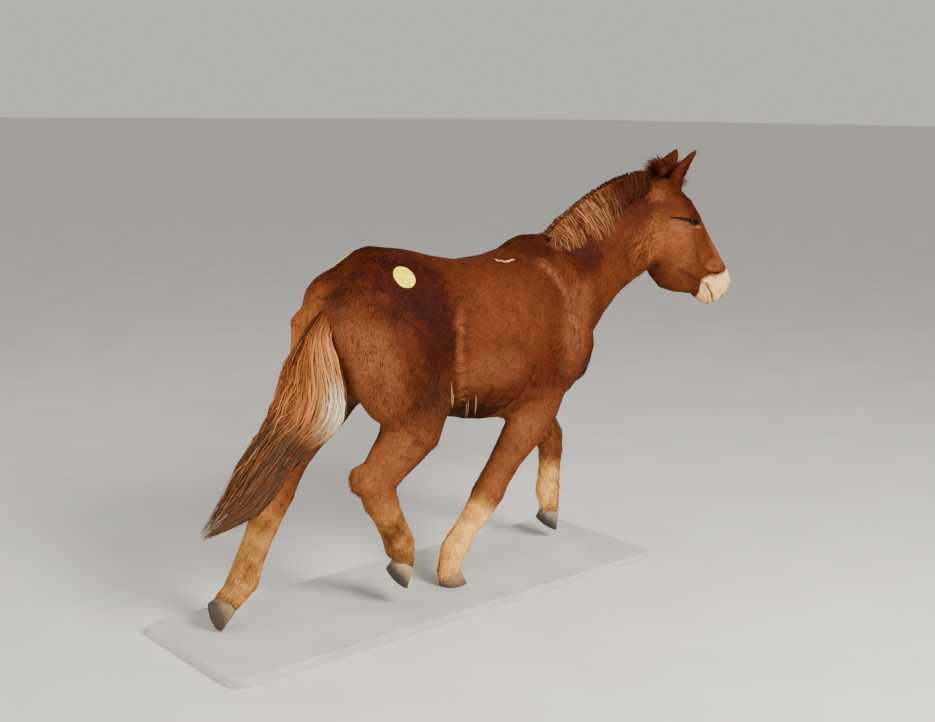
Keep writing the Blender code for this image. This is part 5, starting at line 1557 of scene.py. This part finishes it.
def make_tail(unwrap, material):
    chance = np.random.default_rng(SEED + 2)
    count = TAIL_LOCKS // 1
    start = chance.uniform(0.0, 0.66, count) ** 1.1
    long_way = chance.uniform(0.20, 0.46, count)
    end = np.minimum(start + long_way, 1.0)
    place = chance.uniform(-1, 1, count)
    level = chance.uniform(-1, 1, count)
    ring = np.linspace(0, 1, TAIL_RINGS)[None]
    share = start[:, None] + (end - start)[:, None] * ring
    middle, along, across, outward, half, thick = tail_at(share)
    open_up = 0.55 + 0.45 * smooth(ring, 0.0, 0.6)
    wave = np.sin(ring * 9 + chance.uniform(0, 6.3, (count, 1))) * chance.uniform(0.001, 0.006, (count, 1))
    narrow = 1 - 0.36 * smooth(share, 0.44, 0.60) * (place > 0)[:, None]
    shift_side = place[:, None] * half * open_up * 0.98 * narrow + wave * smooth(ring, 0, 0.3)
    rounded = np.sqrt(np.clip(1 - place[:, None] ** 2 * 0.85, 0, 1))
    shift_out = level[:, None] * thick * 0.85 * rounded * (0.7 + 0.3 * open_up)
    paths = middle + across * shift_side[..., None] + outward * shift_out[..., None] + np.array(SHIFT)
    facing = np.where(level > 0, 1.0, -1.0)[:, None, None]
    ups = unit(outward * facing + across * (place[:, None, None] * 0.6))
    sides = unit(np.cross(along, ups))
    ups = np.cross(sides, along)
    colour = tail_colour(share, place, level, chance.random(count))
    colour = colour * chance.uniform(0.62, 1.25, (count, 1, 1))
    widths = chance.uniform(*TAIL_HALF_WIDTHS, count)
    taper = 1 - np.linspace(0, 1, TAIL_RINGS - 2) ** 2 * 0.72
    places = unwrap.places(paths[:, 0])
    piece = locks("tail_locks", paths, sides, ups, widths, taper, TAIL_LOCK_HEIGHT, colour, places)
    give(piece, material)
    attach(piece, "root")
    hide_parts("tail")


def eye_finish():
    finish = Finish("eye_wet_dark", 0.22, Specular_IOR_Level=0.25, Coat_Weight=0.15, Coat_Roughness=0.10)
    brown = finish.noise(220.0, 3.0)
    finish.colour(finish.ramp(brown, (0.35, (0.003, 0.002, 0.001)), (0.75, (0.010, 0.005, 0.003))))
    return finish.material


def make_eye(side, frame_of_eye, material):
    nothing_picked()
    middle = frame_of_eye[0]
    bpy.ops.mesh.primitive_uv_sphere_add(segments=40, ring_count=24, radius=EYE_BALL, location=middle)
    ball = bpy.context.object
    ball.name = "eyeball_" + side
    bpy.ops.object.transform_apply(location=True, rotation=True, scale=True)
    bpy.ops.object.shade_smooth()
    give(ball, material)
    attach(ball, "root")
    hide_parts("eye_" + side)


def make_label(skin_tree, material):
    """The torn rest of a label: a thin ragged strip that lies on the coat, its ends lifted."""
    low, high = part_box("back_label")
    middle = (low + high) / 2 - SHIFT
    chance = random.Random(SEED + 3)
    bm = bmesh.new()
    rows = []
    for i in range(LABEL_ROWS):
        share = i / (LABEL_ROWS - 1)
        x = middle.x + LABEL_LENGTH * (share - 0.5)
        bend = LABEL_SLANT * (0.5 - share) + 0.0035 * math.sin(2.6 * math.pi * share)
        half = LABEL_MORE_HALF_WIDTH * math.sin(math.pi * share) ** 0.8 * (1 - 0.35 * share)
        half = LABEL_END_HALF_WIDTH + half
        row = []
        for k in range(5):
            ragged = chance.uniform(-0.0022, 0.0022) if k in (0, 4) else 0.0
            y = middle.y + bend + (k / 2 - 1) * half + ragged
            lift = 0.0062 + 0.0045 * abs(2 * share - 1) ** 4 + 0.0012 * math.sin(i * 1.1 + k)
            row.append(bm.verts.new(resting(skin_tree, Vector((x, y, middle.z)), lift) + SHIFT))
        rows.append(row)
    for row, following in zip(rows, rows[1:]):
        for k in range(4):
            bm.faces.new((row[k], following[k], following[k + 1], row[k + 1]))
    piece = object_of("label_rest", bm)
    applied(piece, "SOLIDIFY", thickness=LABEL_THICKNESS, offset=0.0)
    applied(piece, "SUBSURF", levels=1, render_levels=1)
    piece.data.shade_smooth()
    give(piece, material)
    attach(piece, "root")
    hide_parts("back_label")


def horn_finish(name, coronet, slope, wall, low):
    """Horn with rings parallel to the coronet, paler above, dark at the sole."""
    finish = Finish("horn_" + name, 0.50, Specular_IOR_Level=0.35)
    down = Vector((-math.sin(math.radians(slope)), 0.0, -math.cos(math.radians(slope))))
    start = (Vector(coronet) + SHIFT).dot(down)
    sockets = {0: finish.place, 1: down[:]}
    depth = finish.node("ShaderNodeVectorMath", {"operation": "DOT_PRODUCT"}, sockets, 1)
    depth = (depth - start) * (1 / HOOF_HEIGHT)
    streaks = finish.noise(75.0, 4.0, roughness=0.6)
    rings = finish.noise(1.0, 2.0, finish.stretched((22, 22, 22)))
    wave = finish.node("ShaderNodeMath", {"operation": "SINE"}, {0: (depth + rings * 0.10) * HOOF_RINGS})
    darker = tuple(0.62 * c for c in wall)
    shade = finish.ramp(depth + streaks * 0.35 - 0.17, (0.00, wall), (0.55, darker), (0.92, low))
    grime = finish.ramp(streaks + wave * 0.10, (0.36, (0.58, 0.55, 0.52)), (0.62, (1.15, 1.15, 1.15)))
    finish.colour(finish.mix(shade, grime, 0.85, "MULTIPLY"))
    finish.rough(streaks * 0.3 + 0.38)
    finish.bump(wave * 0.35 + streaks, 0.0014)
    return finish.material


def stone_finish():
    finish = Finish("plate_stone", 0.7)
    grains = finish.noise(180.0, 4.0, roughness=0.7)
    clouds = finish.noise(3.5, 4.0)
    mixture = grains * 0.45 + clouds * 0.55
    finish.colour(finish.ramp(mixture, (0.35, (0.40, 0.385, 0.36)), (0.65, (0.60, 0.585, 0.55))))
    finish.rough(grains * 0.25 + 0.55)
    finish.bump(grains, 0.0006)
    return finish.material


def tag_finish():
    finish = Finish("tag_yellow", 0.6, Specular_IOR_Level=0.04)
    grime = finish.noise(70.0, 4.0, roughness=0.6)
    creases = finish.noise(34.0, 3.0, roughness=0.7)
    base = finish.ramp(grime, (0.32, (0.62, 0.46, 0.002)), (0.50, (0.98, 0.80, 0.002)))
    worn = finish.ramp(creases, (0.36, (0.80, 0.78, 0.50)), (0.46, (1.0, 1.0, 1.0)))
    finish.colour(finish.mix(base, worn, 0.8, "MULTIPLY"))
    finish.rough(grime * 0.35 + 0.25)
    finish.bump(creases + grime * 0.3, 0.0025)
    return finish.material


def label_finish():
    finish = Finish("label_torn", 0.6)
    worn = finish.noise(160.0, 4.0, roughness=0.7)
    stops = ((0.38, (0.36, 0.11, 0.06)), (0.54, (0.66, 0.34, 0.25)), (0.78, (0.86, 0.62, 0.52)))
    finish.colour(finish.ramp(worn, *stops))
    finish.rough(worn * 0.4 + 0.4)
    finish.bump(worn, 0.0008)
    return finish.material


def make_stage():
    finish = Finish("floor_pale", 0.85)
    grain = finish.noise(2.5, 3.0)
    finish.colour(finish.ramp(grain, (0.3, (0.62, 0.61, 0.59)), (0.7, (0.68, 0.67, 0.65))))
    nothing_picked()
    bpy.ops.mesh.primitive_plane_add(size=FLOOR_SIZE, location=(0, 0, -0.0005))
    floor = bpy.context.object
    floor.name = "floor"
    bpy.ops.object.transform_apply(location=True, rotation=True, scale=True)
    floor.data.materials.append(finish.material)


def make_lights():
    world = bpy.data.worlds.new("studio")
    bpy.context.scene.world = world
    world.use_nodes = True
    background = world.node_tree.nodes["Background"]
    background.inputs["Color"].default_value = SKY_COLOUR
    background.inputs["Strength"].default_value = SKY_STRENGTH
    for name, energy, size, tint, place in LAMPS:
        light = bpy.data.lights.new(name, "AREA")
        light.energy = energy
        light.size = size
        light.color = tint
        lamp = bpy.data.objects.new(name, light)
        bpy.context.scene.collection.objects.link(lamp)
        lamp.location = place
        lamp.rotation_euler = (LAMP_AIM - place).to_track_quat("-Z", "Y").to_euler()


def make_camera():
    data = bpy.data.cameras.new("camera")
    data.sensor_width = SENSOR
    data.lens = FOCAL_PIXELS * SENSOR / PHOTO_WIDTH
    data.clip_end = FLOOR_SIZE * 2
    camera = bpy.data.objects.new("camera", data)
    bpy.context.scene.collection.objects.link(camera)
    ahead = CAMERA_DIRECTION.normalized() * math.cos(CAMERA_PITCH) - Vector((0, 0, math.sin(CAMERA_PITCH)))
    turn = ahead.to_track_quat("-Z", "Y").to_matrix().to_4x4()
    roll = Matrix.Rotation(CAMERA_ROLL, 4, "Z")
    camera.matrix_world = Matrix.Translation(CAMERA_PLACE + SHIFT) @ turn @ roll
    bpy.context.scene.camera = camera


def main():
    skin = make_skin()
    eyes = {}
    for side, sign in (("left", 1), ("right", -1)):
        eyes[side] = shape_eye(skin, sign)
    shape_muzzle(skin)
    shape_cheeks(skin)
    shape_body(skin)
    skin.data.shade_smooth()
    lie = Lie(points_of(skin.data) - np.array(SHIFT), normals_of(skin.data))
    set_colour(skin.data, face_marks(lie, marking(lie), eyes.values()))
    hide = coat_finish("coat_skin", 260.0, 0.9, 0.0003)
    hair = coat_finish("coat_hair", 420.0, 0.7, 0.0001)
    give(skin, hide)
    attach(skin, "root")
    flesh = ["torso", "neck", "head", "ear_left", "ear_right"] + ["leg_" + name for name in LEG_LINES]
    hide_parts(*flesh)
    unwrap = Unwrap(skin)
    tree = surface_of(skin)
    make_coat(skin, unwrap, list(eyes.values()), hair)
    make_mane(tree, unwrap, hair)
    make_guard_hairs(tree, unwrap, hair)
    make_crown(tree, unwrap, hair)
    make_tail(unwrap, coat_finish("tail_hair", 300.0, 0.8, 0.0001))
    wet = eye_finish()
    for side in eyes:
        make_eye(side, eyes[side], wet)
    make_label(tree, label_finish())
    finishes = {"hip_": tag_finish(), "stan": stone_finish()}
    for name, (coronet, slope, wall, low) in HOOVES.items():
        give(NODES["hoof_" + name], horn_finish(name, coronet, slope, wall, low))
    for name, obj in NODES.items():
        if name[:4] in finishes:
            give(obj, finishes[name[:4]])
    make_stage()
    make_lights()
    make_camera()


main()
